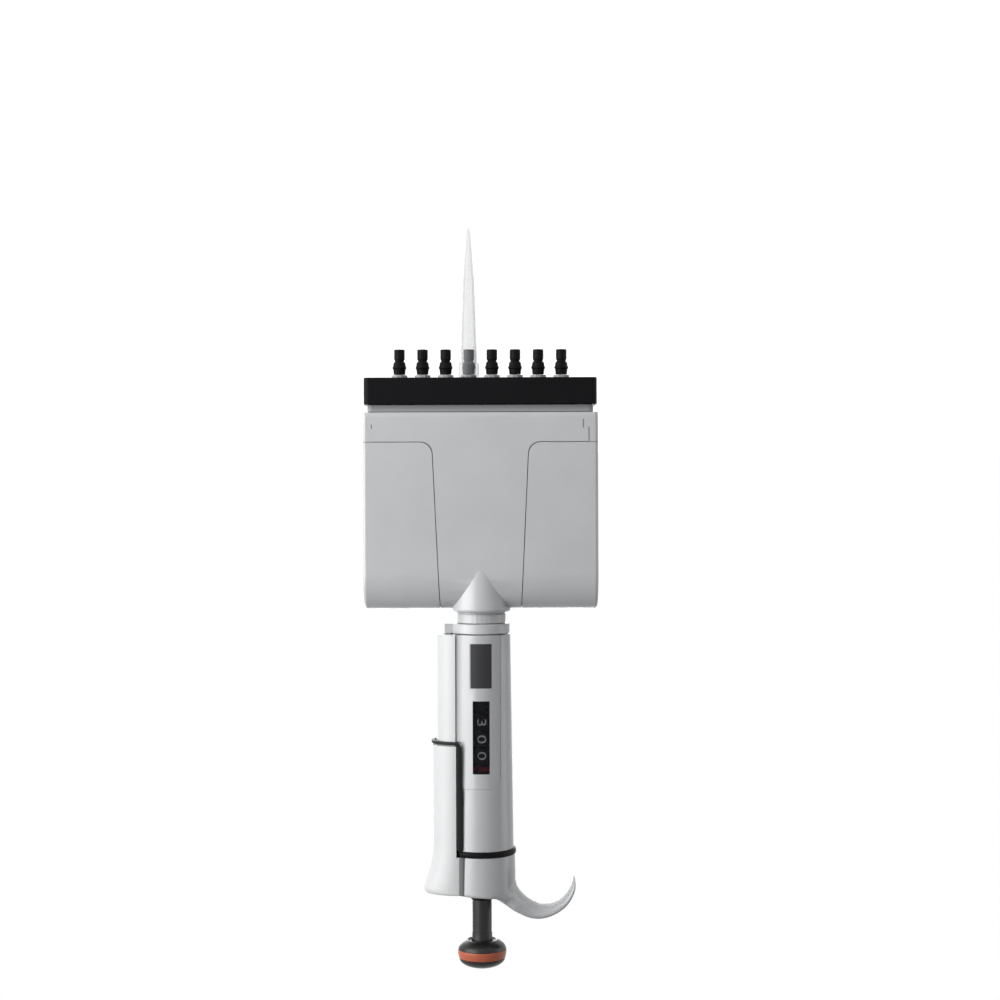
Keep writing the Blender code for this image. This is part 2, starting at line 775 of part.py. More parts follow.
def finger_hook():
    centre_z = hook_top_z - hook_centre_below_top
    stations = [18, 27, 36, 46, 58, 70, 84, 98, 112, 126, 140, 152, 162, 170, 176, 180]
    sides = 14
    work = bmesh.new()
    loops = []
    for angle in stations:
        turn = math.radians(angle)
        deep = hook_thickness(angle) / 2
        wide = hook_width(angle) / 2
        middle = hook_saddle_radius + deep
        loop = []
        for i in range(sides):
            around = 2 * math.pi * i / sides
            out = math.copysign(abs(math.cos(around)) ** 0.7, math.cos(around)) * deep
            across = math.copysign(abs(math.sin(around)) ** 0.7, math.sin(around)) * wide
            reach = middle + out
            spot = (hook_centre_x + reach * math.cos(turn), across, centre_z + reach * math.sin(turn))
            loop.append(work.verts.new(spot))
        loops.append(loop)
    for one, two in zip(loops, loops[1:]):
        for i in range(sides):
            j = (i + 1) % sides
            work.faces.new((one[i], one[j], two[j], two[i]))
    work.faces.new(loops[0])
    work.faces.new(list(reversed(loops[-1])))
    bmesh.ops.recalc_face_normals(work, faces=work.faces)
    arm_mesh = bpy.data.meshes.new("hook_arm")
    work.to_mesh(arm_mesh)
    work.free()
    arm = place("hook_arm", arm_mesh, None, True)
    collar = [
        (hook_core_radius - 1 * MM, hook_top_z),
        (hook_collar_radius - 1.2 * MM, hook_top_z),
        (hook_collar_radius - 0.2 * MM, hook_top_z - 1 * MM),
        (hook_collar_radius, hook_top_z - 4 * MM),
        (hook_collar_radius - 0.3 * MM, hook_low_z),
        (hook_core_radius - 1 * MM, hook_low_z),
    ]
    hook = turned("finger_hook", collar, grey_shell, (0, 0), 40)
    combine(hook, arm, 'UNION')
    combine(hook, disc("hook_bore", hook_core_radius + GAP, hook_low_z - 1 * MM, hook_top_z,
                       None, (0, 0), 40, True))
    return combine(hook, disc("hook_stem_room", stem_radius + 0.9 * MM, hook_low_z - 1 * MM,
                              knob_top_z, None, (0, 0), 24, True))


# Ejector on the handle

def nose(name, centre_x, radius, low, high, look=None, cutter=False):
    return disc(name, radius, low, high, look, (centre_x, 0), 40, cutter)


def ejector_guide():
    high = handle_low_z + guide_length
    low = handle_low_z
    guide = nose("ejector_guide", guide_centre_x, guide_radius, low, high, white_shell)
    combine(guide, nose("guide_room", guide_centre_x, guide_radius - guide_wall, low + guide_wall,
                        high + 1 * MM, None, True))
    combine(guide, disc("guide_handle", handle_radius(high) + GAP, low - 1 * MM, high + 1 * MM, None,
                        (0, 0), 48, True))
    combine(guide, box("guide_back", (-20 * MM, plate_left + GAP), (-20 * MM, 20 * MM),
                       (low - 1 * MM, high + 1 * MM), None, True))
    slot = box("guide_foot_slot", (arm_x - arm_thickness, arm_x + arm_thickness),
               (-arm_width / 2 - GAP, arm_width / 2 + GAP), (low - 1 * MM, low + 3 * MM), None, True)
    return combine(guide, slot)


def ejector_button():
    low = button_low_z + trim_band + GAP
    high = hook_top_z
    flare_z = high - button_flare_height
    profile = [
        (0.0, high),
        (button_radius + button_flare - 1.2 * MM, high),
        (button_radius + button_flare, high - 2.0 * MM),
        (button_radius + button_flare * 0.86, high - 4.2 * MM),
        (button_radius + button_flare * 0.45, high - 8.4 * MM),
        (button_radius + button_flare * 0.14, high - 13 * MM),
        (button_radius, flare_z),
        (button_radius, low),
        (0.0, low),
    ]
    button = turned("ejector_button", profile, white_shell, (button_centre_x, 0), 40)
    keep = box("button_side_trim", (0, 40 * MM), (-button_radius, button_radius),
               (low - 1 * MM, high + 1 * MM), None, True)
    combine(button, keep, 'INTERSECT')
    combine(button, nose("button_room", button_centre_x, button_radius - button_wall, low - 1 * MM,
                         high - button_wall, None, True))
    combine(button, disc("button_handle", hook_collar_radius + GAP, low - 1 * MM, high + 1 * MM, None,
                         (0, 0), 48, True))
    combine(button, box("button_back", (-button_radius, button_edge_x), (-2 * button_radius, 2 * button_radius),
                        (low - 1 * MM, hook_low_z), None, True))
    return combine(button, box("button_back_high", (-button_radius, button_edge_high_x),
                               (-2 * button_radius, 2 * button_radius), (hook_low_z - 1 * MM, high + 1 * MM), None, True))


def circle_y(centre_x, radius, x):
    return math.sqrt(radius ** 2 - (x - centre_x) ** 2)


def between(low, high, steps):
    return [low + (high - low) * i / steps for i in range(steps + 1)]


def button_trim():
    """A band round the lower end of the button and a bar along each of its two side edges."""
    outer = button_radius + trim_proud
    inner = guide_radius + guide_centre_x - button_centre_x + trim_slide_clearance
    seat = handle_high_radius + GAP
    front_x = button_edge_x - GAP
    back_x = front_x - trim_width_at_plate
    meet_x = (seat ** 2 - inner ** 2 + button_centre_x ** 2) / (2 * button_centre_x)
    side = [(x, circle_y(button_centre_x, outer, x)) for x in between(back_x, front_x, 3)]
    seat_line = [(x, circle_y(0.0, seat, x)) for x in between(back_x, meet_x, 2)]
    wide_x = front_x - trim_width
    wide_side = [(x, circle_y(button_centre_x, outer, x)) for x in between(wide_x, front_x, 3)]
    wide_seat = [(x, circle_y(0.0, seat, x)) for x in between(wide_x, front_x, 3)]
    full_seat = [(x, circle_y(0.0, seat, x)) for x in between(back_x, front_x, 3)]

    start = math.degrees(math.acos((front_x - button_centre_x) / outer))
    close = math.degrees(math.acos((meet_x - button_centre_x) / inner))
    centre = (button_centre_x, 0.0)
    sweep = arc(centre, outer, start, -start, 20)[1:-1]
    hollow = arc(centre, inner, -close, close, 20)[1:-1]
    mirror = [(x, -y) for x, y in side]
    mirror_seat = [(x, -y) for x, y in seat_line]
    band_line = side + sweep + mirror[::-1] + mirror_seat + hollow + seat_line[::-1]
    band_high = button_low_z + trim_band
    step_z = plate_high_z + eject_travel + 2 * GAP
    trim = prism("button_trim", band_line, button_low_z, band_high, "Z", black_plastic)
    for sign, name in ((1, "back_bar"), (-1, "front_bar")):
        bar_line = [(x, sign * y) for x, y in side + full_seat[::-1]]
        wide_line = [(x, sign * y) for x, y in wide_side + wide_seat[::-1]]
        combine(trim, prism(name, bar_line, button_low_z, step_z + 1 * MM, "Z", None, True), 'UNION')
        combine(trim, prism(name + "_wide", wide_line, step_z, handle_high_z, "Z", None, True), 'UNION')
    return trim


def ejector_arm():
    """The strip that carries the thumb's push down to the collar, with a tab over its return spring."""
    low = handle_low_z + 0.4 * MM
    high = handle_high_z - 2 * MM
    face_x = arm_x + arm_thickness / 2
    arm = box("ejector_arm", (arm_x - arm_thickness / 2, face_x), (-arm_width / 2, arm_width / 2), (low, high), steel)
    tab = box("arm_tab", (arm_x, face_x + tab_reach), (-tab_width / 2, tab_width / 2),
              (tab_z, tab_z + arm_thickness), None, True)
    return combine(arm, tab, 'UNION')


def ejector_spring():
    return coil("ejector_spring", arm_x + arm_thickness / 2 + tab_reach / 2, tab_spring_radius, tab_spring_wire,
                guide_high_z + 0.1 * MM, tab_z - 0.1 * MM, 7, steel)


def ejector_collar():
    low = collar_low_z
    high = collar_low_z + collar_height
    inner = neck_tube_radius + GAP
    profile = [
        (collar_radius - 0.3 * MM, high),
        (collar_radius, high - 0.3 * MM),
        (collar_radius, low + 0.3 * MM),
        (collar_radius - 0.3 * MM, low),
        (inner, low),
        (inner, high),
    ]
    collar = turned("ejector_collar", profile, white_shell, (0, 0), 32)
    lug = box("collar_lug", (collar_radius - 1.5 * MM, arm_x + arm_thickness / 2),
              (-arm_width / 2, arm_width / 2), (low, high), None, True)
    return combine(collar, lug, 'UNION')


def neck_tube():
    outer = neck_tube_radius
    inner = outer - neck_tube_wall
    flange = handle_bore - GAP
    low = yoke_top_z + eject_travel
    profile = [
        (flange, neck_tube_top_z),
        (flange, handle_low_z + 0.6 * MM),
        (outer, handle_low_z + 0.6 * MM),
        (outer, low),
        (inner, low),
        (inner, neck_tube_top_z - 1.5 * MM),
        (drive_rod_radius + GAP, neck_tube_top_z - 1.5 * MM),
        (drive_rod_radius + GAP, neck_tube_top_z),
    ]
    return turned("neck_tube", profile, inner_plastic, (0, 0), 24)


# Counter, setting sleeve and plunger

def counter_core():
    profile = [
        (drum_bore - GAP, units_z - drum_pitch / 2 - GAP),
        (drum_bore - GAP, core_low_z + core_flange),
        (handle_bore - GAP, core_low_z + core_flange),
        (handle_bore - GAP, core_low_z),
        (rod_radius + GAP, core_low_z),
        (rod_radius + GAP, units_z - drum_pitch / 2 - GAP),
    ]
    return turned("counter_core", profile, dark_plastic, (0, 0), 24)


def counter_drum(name, middle, bore):
    return ring(name, bore, drum_radius, middle - drum_height / 2, middle + drum_height / 2,
                black_plastic, (0, 0), 20)


def setting_sleeve():
    low = units_z + drum_height / 2 + GAP
    high = handle_high_z - sleeve_from_top
    return ring("setting_sleeve", stem_radius + GAP, stem_radius + GAP + sleeve_wall, low, high,
                dark_plastic, (0, 0), 24)


def dial_bearing():
    inner = stem_radius + sleeve_wall + 2 * GAP
    high = handle_high_z - sleeve_from_top - 1 * MM
    return ring("dial_bearing", inner, handle_bore - GAP, high - bearing_height, high, inner_plastic, (0, 0), 24)


def plunger_stem():
    low = units_z + drum_height / 2 + stroke + 2 * GAP
    return disc("plunger_stem", stem_radius, low, knob_low_z + knob_socket - GAP, dark_plastic, (0, 0), 24)


def plunger_rod():
    low = spring_low_z + 0.5 * MM
    high = units_z + drum_height / 2 + stroke + GAP
    profile = [
        (0.0, high),
        (rod_radius, high),
        (rod_radius, rod_collar_z + rod_collar_height),
        (spring_radius + 1 * MM, rod_collar_z + rod_collar_height),
        (spring_radius + 1 * MM, rod_collar_z),
        (rod_radius, rod_collar_z),
        (rod_radius, low),
        (0.0, low),
    ]
    return turned("plunger_rod", profile, steel, (0, 0), 20)


def coil(name, centre_x, radius, wire, low, high, turns, look):
    line = bpy.data.curves.new(name, 'CURVE')
    line.dimensions = '3D'
    line.bevel_depth = wire
    line.bevel_resolution = 2
    line.use_fill_caps = True
    per_turn = 9
    count = turns * per_turn
    path = line.splines.new('POLY')
    path.points.add(count)
    for i, point in enumerate(path.points):
        turn = 2 * math.pi * i / per_turn
        height = low + wire + (high - low - 2 * wire) * i / count
        point.co = (centre_x + radius * math.cos(turn), radius * math.sin(turn), height, 1.0)
    made = bpy.data.objects.new(name, line)
    line.materials.append(look)
    parts.objects.link(made)
    return made


def plunger_spring():
    return coil("plunger_spring", 0.0, spring_radius, spring_wire, spring_low_z + 0.1 * MM, rod_collar_z - 0.1 * MM,
                spring_turns, steel)


def knob_body():
    top = knob_low_z + knob_height
    ring_low = top - ring_from_top - knob_ring_height
    low = knob_low_z
    profile = [
        (knob_radius * 0.55, ring_low + knob_ring_height),
        (knob_radius * 0.55, ring_low - GAP),
        (knob_radius * 0.99, ring_low - GAP),
        (knob_radius * 0.97, ring_low - 1.2 * MM),
        (knob_radius * 0.86, ring_low - 2.6 * MM),
        (knob_radius * 0.67, low + 0.4 * MM),
        (knob_radius * 0.59, low),
        (knob_radius * 0.5, low + 0.5 * MM),
        (stem_radius + 3 * GAP, low),
        (stem_radius + GAP, low - 0.6 * MM),
        (stem_radius + GAP, low + knob_socket),
        (0.0, low + knob_socket),
    ]
    return turned("knob_body", [(0.0, ring_low + knob_ring_height)] + profile, dark_plastic, (0, 0), 32)


def knob_colour_ring():
    low = knob_top_z - ring_from_top - knob_ring_height
    profile = [
        (knob_radius * 0.945, low + knob_ring_height),
        (knob_radius, low + knob_ring_height * 0.45),
        (knob_radius, low),
        (knob_radius * 0.55 + GAP, low),
        (knob_radius * 0.55 + GAP, low + knob_ring_height),
    ]
    return turned("knob_colour_ring", profile, orange_plastic, (0, 0), 32)


def knob_cap():
    low = knob_top_z - ring_from_top + GAP
    rise = knob_top_z - low
    steps = 6
    dome = [(knob_radius * 0.92 * math.sin(math.pi / 2 * i / steps), low + rise * math.cos(math.pi / 2 * i / steps))
            for i in range(steps + 1)]
    return turned("knob_cap", dome + [(0.0, low)], dark_plastic, (0, 0), 32)



tip_cones()
pipette_tip()
ejector_bar()
module_covers()
cylinder_block()
pistons()
piston_carrier()
drive_rod()
module_bridge()
ejector_yoke()
push_sleeve()
ejector_rods()
swivel_spigot()
handle_body()
window_plate()
label_inlay()
display_lens()
hook_ring()
stem_bush()
finger_hook()
ejector_guide()
ejector_button()
button_trim()
ejector_arm()
ejector_collar()
neck_tube()
counter_core()
counter_drum("units_drum", units_z, rod_radius + GAP)
counter_drum("tens_drum", tens_z, drum_bore)
counter_drum("hundreds_drum", hundreds_z, drum_bore)
setting_sleeve()
dial_bearing()
plunger_stem()
plunger_rod()
plunger_spring()
ejector_spring()
knob_body()
knob_colour_ring()
knob_cap()
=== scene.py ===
"""Looks of the multichannel pipette: materials, finer surfaces, counter digits, light and camera.

Everything is in metres in the CAD frame: +Z up the handle, +X the ejector's side, -Y the front.
"""
import json
import math

import bmesh
import bpy
from mathutils import Matrix, Vector
from mathutils.bvhtree import BVHTree

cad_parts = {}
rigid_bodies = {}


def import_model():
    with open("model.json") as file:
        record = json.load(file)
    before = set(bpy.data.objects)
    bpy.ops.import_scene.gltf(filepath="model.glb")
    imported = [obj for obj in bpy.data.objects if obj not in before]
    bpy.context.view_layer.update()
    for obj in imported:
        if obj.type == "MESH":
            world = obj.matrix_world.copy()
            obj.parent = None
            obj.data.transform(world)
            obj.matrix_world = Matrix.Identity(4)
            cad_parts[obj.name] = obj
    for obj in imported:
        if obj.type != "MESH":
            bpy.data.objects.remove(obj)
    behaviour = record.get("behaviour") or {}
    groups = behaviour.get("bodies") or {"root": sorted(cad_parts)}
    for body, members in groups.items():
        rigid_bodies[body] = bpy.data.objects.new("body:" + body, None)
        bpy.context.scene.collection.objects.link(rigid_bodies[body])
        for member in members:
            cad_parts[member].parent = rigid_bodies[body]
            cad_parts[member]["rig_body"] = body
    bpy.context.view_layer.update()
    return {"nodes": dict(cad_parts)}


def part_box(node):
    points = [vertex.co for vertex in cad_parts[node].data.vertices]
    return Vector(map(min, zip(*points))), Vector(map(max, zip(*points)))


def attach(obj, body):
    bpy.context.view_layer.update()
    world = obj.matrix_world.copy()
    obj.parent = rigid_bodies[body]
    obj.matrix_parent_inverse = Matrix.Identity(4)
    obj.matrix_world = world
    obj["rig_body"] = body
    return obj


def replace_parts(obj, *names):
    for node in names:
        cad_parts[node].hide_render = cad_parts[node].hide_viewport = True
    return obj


MM = 0.001

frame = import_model()
nodes = frame["nodes"]


# Materials

NOISE_ROUGHNESS = 0.55
GRAIN_SCALE = 2600.0
GRAIN_DEPTH = 0.08 * MM


def noise(tree, coords, scale, detail=3.0):
    """Noise over the object's own coordinates, as a value socket."""
    made = tree.nodes.new("ShaderNodeTexNoise")
    made.inputs["Scale"].default_value = scale
    made.inputs["Detail"].default_value = detail
    made.inputs["Roughness"].default_value = NOISE_ROUGHNESS
    tree.links.new(coords, made.inputs["Vector"])
    return made.outputs["Fac"]


def spread(tree, value, low, high, from_low=0.3, from_high=0.7):
    """A noise value mapped from its usual spread to low..high."""
    made = tree.nodes.new("ShaderNodeMapRange")
    made.inputs["From Min"].default_value = from_low
    made.inputs["From Max"].default_value = from_high
    made.inputs["To Min"].default_value = low
    made.inputs["To Max"].default_value = high
    tree.links.new(value, made.inputs["Value"])
    return made.outputs["Result"]


def mixed(tree, factor, first, second):
    """Two colours mixed by a factor socket."""
    made = tree.nodes.new("ShaderNodeMix")
    made.data_type = 'RGBA'
    tree.links.new(factor, made.inputs["Factor"])
    for socket, value in ((6, first), (7, second)):
        if isinstance(value, tuple):
            made.inputs[socket].default_value = (*value, 1.0)
        else:
            tree.links.new(value, made.inputs[socket])
    return made.outputs[2]


def shader_base(name):
    """A new material with its tree, its shader and the object's coordinates."""
    made = bpy.data.materials.new(name)
    made.use_nodes = True
    tree = made.node_tree
    coords = tree.nodes.new("ShaderNodeTexCoord").outputs["Object"]
    return made, tree, tree.nodes["Principled BSDF"], coords


def moulded(name, colour, roughness, grain=0.06, variation=0.04, specular=0.5):
    """Moulded plastic: spark eroded grain, faint flow clouds, handling haze in the roughness."""
    made, tree, shader, coords = shader_base(name)
    clouds = spread(tree, noise(tree, coords, 38.0, 4.0), 0.0, 1.0)
    darker = tuple(c * (1.0 - variation) for c in colour)
    lighter = tuple(min(1.0, c * (1.0 + variation)) for c in colour)
    tree.links.new(mixed(tree, clouds, darker, lighter), shader.inputs["Base Color"])
    haze = spread(tree, noise(tree, coords, 160.0, 3.0), roughness - 0.03, roughness + 0.04)
    tree.links.new(haze, shader.inputs["Roughness"])
    bump = tree.nodes.new("ShaderNodeBump")
    bump.inputs["Strength"].default_value = grain
    bump.inputs["Distance"].default_value = GRAIN_DEPTH
    tree.links.new(noise(tree, coords, GRAIN_SCALE, 2.0), bump.inputs["Height"])
    tree.links.new(bump.outputs["Normal"], shader.inputs["Normal"])
    shader.inputs["Specular IOR Level"].default_value = specular
    return made


# Heights over which the painted shadow of the ejector bar fades from its darkest to the skirt's own grey.
SKIRT_SHADE_DARKEST_Z = 69.3 * MM
SKIRT_SHADE_END_Z = 72.6 * MM
NOZZLE_TOP = 66.0 * MM


def shaded_skirt(name, roughness):
    """The skirt's grey with a painted shadow of the ejector bar: darker towards the bar, light again on the
    nozzles.
    """
    made, tree, shader, coords = shader_base(name)
    split = tree.nodes.new("ShaderNodeSeparateXYZ")
    tree.links.new(coords, split.inputs["Vector"])
    height = tree.nodes.new("ShaderNodeMapRange")
    height.inputs["From Min"].default_value = SKIRT_SHADE_DARKEST_Z
    height.inputs["From Max"].default_value = SKIRT_SHADE_END_Z
    tree.links.new(split.outputs["Z"], height.inputs["Value"])
    # Painted shade: dark grey at the bar, the skirt's own grey higher up.
    painted_shade = mixed(tree, height.outputs["Result"], (0.100, 0.102, 0.106), (0.345, 0.350, 0.356))
    nozzle = tree.nodes.new("ShaderNodeMath")
    nozzle.operation = 'LESS_THAN'
    nozzle.inputs[1].default_value = NOZZLE_TOP
    tree.links.new(split.outputs["Z"], nozzle.inputs[0])
    tree.links.new(mixed(tree, nozzle.outputs[0], painted_shade, (0.40, 0.405, 0.41)), shader.inputs["Base Color"])
    haze = spread(tree, noise(tree, coords, 210.0, 5.0), roughness - 0.05, roughness + 0.06)
    tree.links.new(haze, shader.inputs["Roughness"])
    shader.inputs["Specular IOR Level"].default_value = 0.3
    return made


def ground_steel(name, colour, roughness, along):
    """Ground steel with fine marks along the given axis."""
    made, tree, shader, coords = shader_base(name)
    mapping = tree.nodes.new("ShaderNodeMapping")
    scale = [2400.0, 2400.0, 2400.0]
    scale[along] = 60.0
    mapping.inputs["Scale"].default_value = scale
    tree.links.new(coords, mapping.inputs["Vector"])
    marks = noise(tree, mapping.outputs["Vector"], 1.0, 3.0)
    darker = tuple(c * 0.86 for c in colour)
    tree.links.new(mixed(tree, spread(tree, marks, 0.0, 1.0), darker, colour), shader.inputs["Base Color"])
    tree.links.new(spread(tree, marks, roughness - 0.06, roughness + 0.08), shader.inputs["Roughness"])
    shader.inputs["Metallic"].default_value = 1.0
    return made


def smoked_film(name, colour, cover):
    """Smoked acrylic as a thin dark film: see-through, with a faint polish haze."""
    made, tree, shader, coords = shader_base(name)
    shader.inputs["Base Color"].default_value = (*colour, 1.0)
    film = spread(tree, noise(tree, coords, 90.0), cover - 0.02, cover + 0.03)
    tree.links.new(film, shader.inputs["Alpha"])
    tree.links.new(spread(tree, noise(tree, coords, 400.0), 0.10, 0.16), shader.inputs["Roughness"])
    shader.inputs["Specular IOR Level"].default_value = 0.15
    return made


def translucent(name, colour, facing, edge):
    """Natural polypropylene in a thin wall: see-through where it faces the viewer, denser along its edges."""
    made, tree, shader, coords = shader_base(name)
    clouds = spread(tree, noise(tree, coords, 120.0, 4.0), 0.0, 1.0)
    darker = tuple(c * 0.97 for c in colour)
    tree.links.new(mixed(tree, clouds, darker, colour), shader.inputs["Base Color"])
    tree.links.new(spread(tree, noise(tree, coords, 600.0), 0.22, 0.30), shader.inputs["Roughness"])
    turned = tree.nodes.new("ShaderNodeLayerWeight")
    turned.inputs["Blend"].default_value = 0.35
    tree.links.new(spread(tree, turned.outputs["Facing"], facing, edge, 0.1, 1.0), shader.inputs["Alpha"])
    shader.inputs["IOR"].default_value = 1.45
    shader.inputs["Specular IOR Level"].default_value = 0.3
    return made


grey_shell = moulded("grey_shell_satin", (0.428, 0.437, 0.446), 0.32, specular=0.68)
module_shell = moulded("module_shell_satin", (0.470, 0.479, 0.489), 0.34, specular=0.7)
white_shell = moulded("white_shell_satin", (0.565, 0.57, 0.574), 0.36, 0.05, 0.02, 0.4)
black_plastic = moulded("black_plastic_satin", (0.0048, 0.0048, 0.0056), 0.45, 0.08, 0.15, 0.06)
trim_rubber = moulded("trim_rubber_satin", (0.011, 0.0115, 0.0125), 0.5, 0.06, 0.12, 0.15)
dark_plastic = moulded("dark_plastic_satin", (0.011, 0.010, 0.0095), 0.34, 0.08, 0.12, 0.3)
orange_plastic = moulded("orange_plastic_satin", (0.40, 0.095, 0.045), 0.42, 0.05, 0.05, 0.4)
label_grey = moulded("label_inlay_matt", (0.030, 0.030, 0.032), 0.55, 0.1, 0.08, 0.2)
drum_black = moulded("drum_black_matt", (0.005, 0.005, 0.007), 0.6, 0.05, 0.1, 0.1)
inner_plastic = moulded("inner_plastic_matt", (0.46, 0.462, 0.466), 0.5, 0.06, 0.04)
digit_white = moulded("digit_print", (0.64, 0.64, 0.65), 0.6, 0.03, 0.05, 0.2)
# Dark grey of seam floors, seam lines and the latch slot: painted shade of their gaps.
seam_painted_shade = moulded("seam_painted_shade_matt", (0.20, 0.202, 0.205), 0.6, 0.05, 0.05, 0.2)
# Dark grey standing for the shade in the gap beside the button: painted shade.
rail_painted_shade = moulded("rail_painted_shade_satin", (0.12, 0.122, 0.126), 0.5, 0.06, 0.05, 0.2)
# The cylinder block's skirt, with the ejector bar's shadow painted into its grey.
skirt_painted_shade = shaded_skirt("skirt_satin_painted_shade", 0.45)
red_print = moulded("red_print", (0.60, 0.05, 0.06), 0.5, 0.03, 0.05, 0.2)
steel = ground_steel("ground_steel_turned", (0.55, 0.55, 0.56), 0.26, 2)
smoked = smoked_film("smoked_window", (0.012, 0.012, 0.018), 0.24)
clear_tip = translucent("clear_tip_natural", (0.50, 0.51, 0.53), 0.14, 0.60)


LOOKS = (
    (("pipette_tip",), clear_tip),
    (("display_lens",), smoked),
    (("label_inlay",), label_grey),
    (("units_drum", "tens_drum", "hundreds_drum", "counter_core", "setting_sleeve"), drum_black),
    (("tip_cone", "ejector_bar", "hook_ring"), black_plastic),
    (("button_trim",), trim_rubber),
    (("module_front", "module_back", "module_left", "module_right", "ejector_collar"), module_shell),
    # the cylinder block's skirt carries a painted shadow of the ejector bar
    (("cylinder_block",), skirt_painted_shade),
    (("knob_colour_ring",), orange_plastic),
    (("knob", "plunger_stem", "stem_bush"), dark_plastic),
    (("ejector_guide", "ejector_button"), white_shell),
    (("piston_carrier", "module_bridge", "ejector_yoke", "swivel_spigot", "neck_tube", "dial_bearing"),
     inner_plastic),
    (("piston_", "drive_rod", "ejector_rod", "ejector_arm", "ejector_spring", "plunger_rod",
      "plunger_spring"), steel),
)


def looks_of(node):
    """The look of the first group that the node's name starts with."""
    for names, look in LOOKS:
        if any(node.startswith(n) for n in names):
            return look
    return grey_shell


def dress(obj, look):
    obj.data.materials.clear()
    obj.data.materials.append(look)


for name, node in nodes.items():
    dress(node, looks_of(name))


# Mesh helpers

def linked(name, mesh, look, body):
    """A new piece in the scene, dressed, riding on a body."""
    piece = bpy.data.objects.new(name, mesh)
    bpy.context.scene.collection.objects.link(piece)
    dress(piece, look)
    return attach(piece, body)


def in_place_of(mesh, look, node):
    """The mesh as a piece named after it, in place of the node and on the node's body."""
    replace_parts(linked(mesh.name, mesh, look, nodes[node]["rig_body"]), node)


def shade(mesh, angle):
    """Smooth shading with edges sharper than the angle kept crisp."""
    work = bmesh.new()
    work.from_mesh(mesh)
    limit = math.radians(angle)
    for edge in work.edges:
        edge.smooth = len(edge.link_faces) == 2 and edge.calc_face_angle(0.0) < limit
    for face in work.faces:
        face.smooth = True
    work.to_mesh(mesh)
    work.free()


def meshed(work, name, angle=None):
    """The mesh of what was built, shaded smooth up to the angle where one is given."""
    mesh = bpy.data.meshes.new(name)
    work.to_mesh(mesh)
    work.free()
    if angle:
        shade(mesh, angle)
    return mesh


def lofted(name, loops, angle=None):
    """A skin through closed loops of points, with a cap on the first and the last."""
    work = bmesh.new()
    rings = [[work.verts.new(point) for point in loop] for loop in loops]
    for one, two in zip(rings, rings[1:]):
        for i in range(len(one)):
            j = (i + 1) % len(one)
            work.faces.new((one[i], one[j], two[j], two[i]))
    work.faces.new(rings[0])
    work.faces.new(list(reversed(rings[-1])))
    bmesh.ops.recalc_face_normals(work, faces=work.faces)
    return meshed(work, name, angle)


def prism(name, outline, low, high, at, angle=40.0):
    """Solid between two levels of one coordinate, with the outline's points placed by the function."""
    return lofted(name, [[at(point, level) for point in outline] for level in (low, high)], angle)


def eased(value, low, high):
    """0 below low, 1 above high, smooth between."""
    t = min(1.0, max(0.0, (value - low) / (high - low)))
    return t * t * (3 - 2 * t)


def corner_rounded(points):
    """A polyline of (r, z, fillet) with its corners turned into arcs."""
    line = []
    last = len(points) - 1
    for i, (r, z, fillet) in enumerate(points):
        here = Vector((r, z))
        if fillet <= 0 or i in (0, last):
            line.append(here)
            continue
        before = (Vector(points[i - 1][:2]) - here)
        after = (Vector(points[i + 1][:2]) - here)
        reach = min(fillet, before.length * 0.49, after.length * 0.49)
        start = here + before.normalized() * reach
        end = here + after.normalized() * reach
        for k in range(7):
            t = k / 6
            line.append(start * (1 - t) ** 2 + here * 2 * t * (1 - t) + end * t ** 2)
    return [(p.x, p.y) for p in line]


def revolved(name, points, centre=(0.0, 0.0), segments=96, angle=40.0, closed=False):
    """A profile of (r, z, fillet) turned about a vertical axis."""
    line = corner_rounded(points)
    x, y = centre
    turns = [2 * math.pi * i / segments for i in range(segments)]
    work = bmesh.new()
    rings = []
    for r, z in line:
        if r < 0.00001:
            rings.append([work.verts.new((x, y, z))])
        else:
            rings.append([work.verts.new((x + r * math.cos(t), y + r * math.sin(t), z)) for t in turns])
    pairs = list(zip(rings, rings[1:]))
    if closed:
        pairs.append((rings[-1], rings[0]))
    for one, two in pairs:
        for i in range(segments):
            j = (i + 1) % segments
            if len(one) == 1 and len(two) > 1:
                work.faces.new((one[0], two[i], two[j]))
            elif len(two) == 1 and len(one) > 1:
                work.faces.new((one[i], two[0], one[j]))
            elif len(one) > 1:
                work.faces.new((one[i], two[i], two[j], one[j]))
    bmesh.ops.recalc_face_normals(work, faces=work.faces)
    return meshed(work, name, angle)


def cylinder(name, radius, low, high, centre=(0.0, 0.0), segments=128):
    outline = ((0.0, low, 0), (radius, low, 0), (radius, high, 0), (0.0, high, 0))
    return revolved(name, outline, centre, segments)


def block(name, x, y, z):
    """A box between the given limits of each coordinate."""
    work = bmesh.new()
    made = bmesh.ops.create_cube(work, size=1.0)
    for vert in made["verts"]:
        vert.co = Vector([(v[0] + v[1]) / 2 + c * (v[1] - v[0]) for v, c in zip((x, y, z), vert.co)])
    return meshed(work, name)


def modified(mesh, *steps):
    """The mesh after the modifiers that each step adds to a holder object."""
    holder = bpy.data.objects.new("holder", mesh)
    bpy.context.scene.collection.objects.link(holder)
    for step in steps:
        step(holder)
    bpy.context.view_layer.update()
    made = bpy.data.meshes.new_from_object(holder.evaluated_get(bpy.context.evaluated_depsgraph_get()))
    made.name = mesh.name
    bpy.data.objects.remove(holder)
    return made


def even_normals(holder):
    """Corner normals weighted by face size, so that flat faces look flat beside their soft edges."""
    step = holder.modifiers.new("even", 'WEIGHTED_NORMAL')
    step.keep_sharp = True
    step.weight = 80


def clear_normals(mesh):
    """Drops the stored corner normals, so that shading follows the faces."""
    if mesh.attributes.get("custom_normal"):
        mesh.attributes.remove(mesh.attributes["custom_normal"])


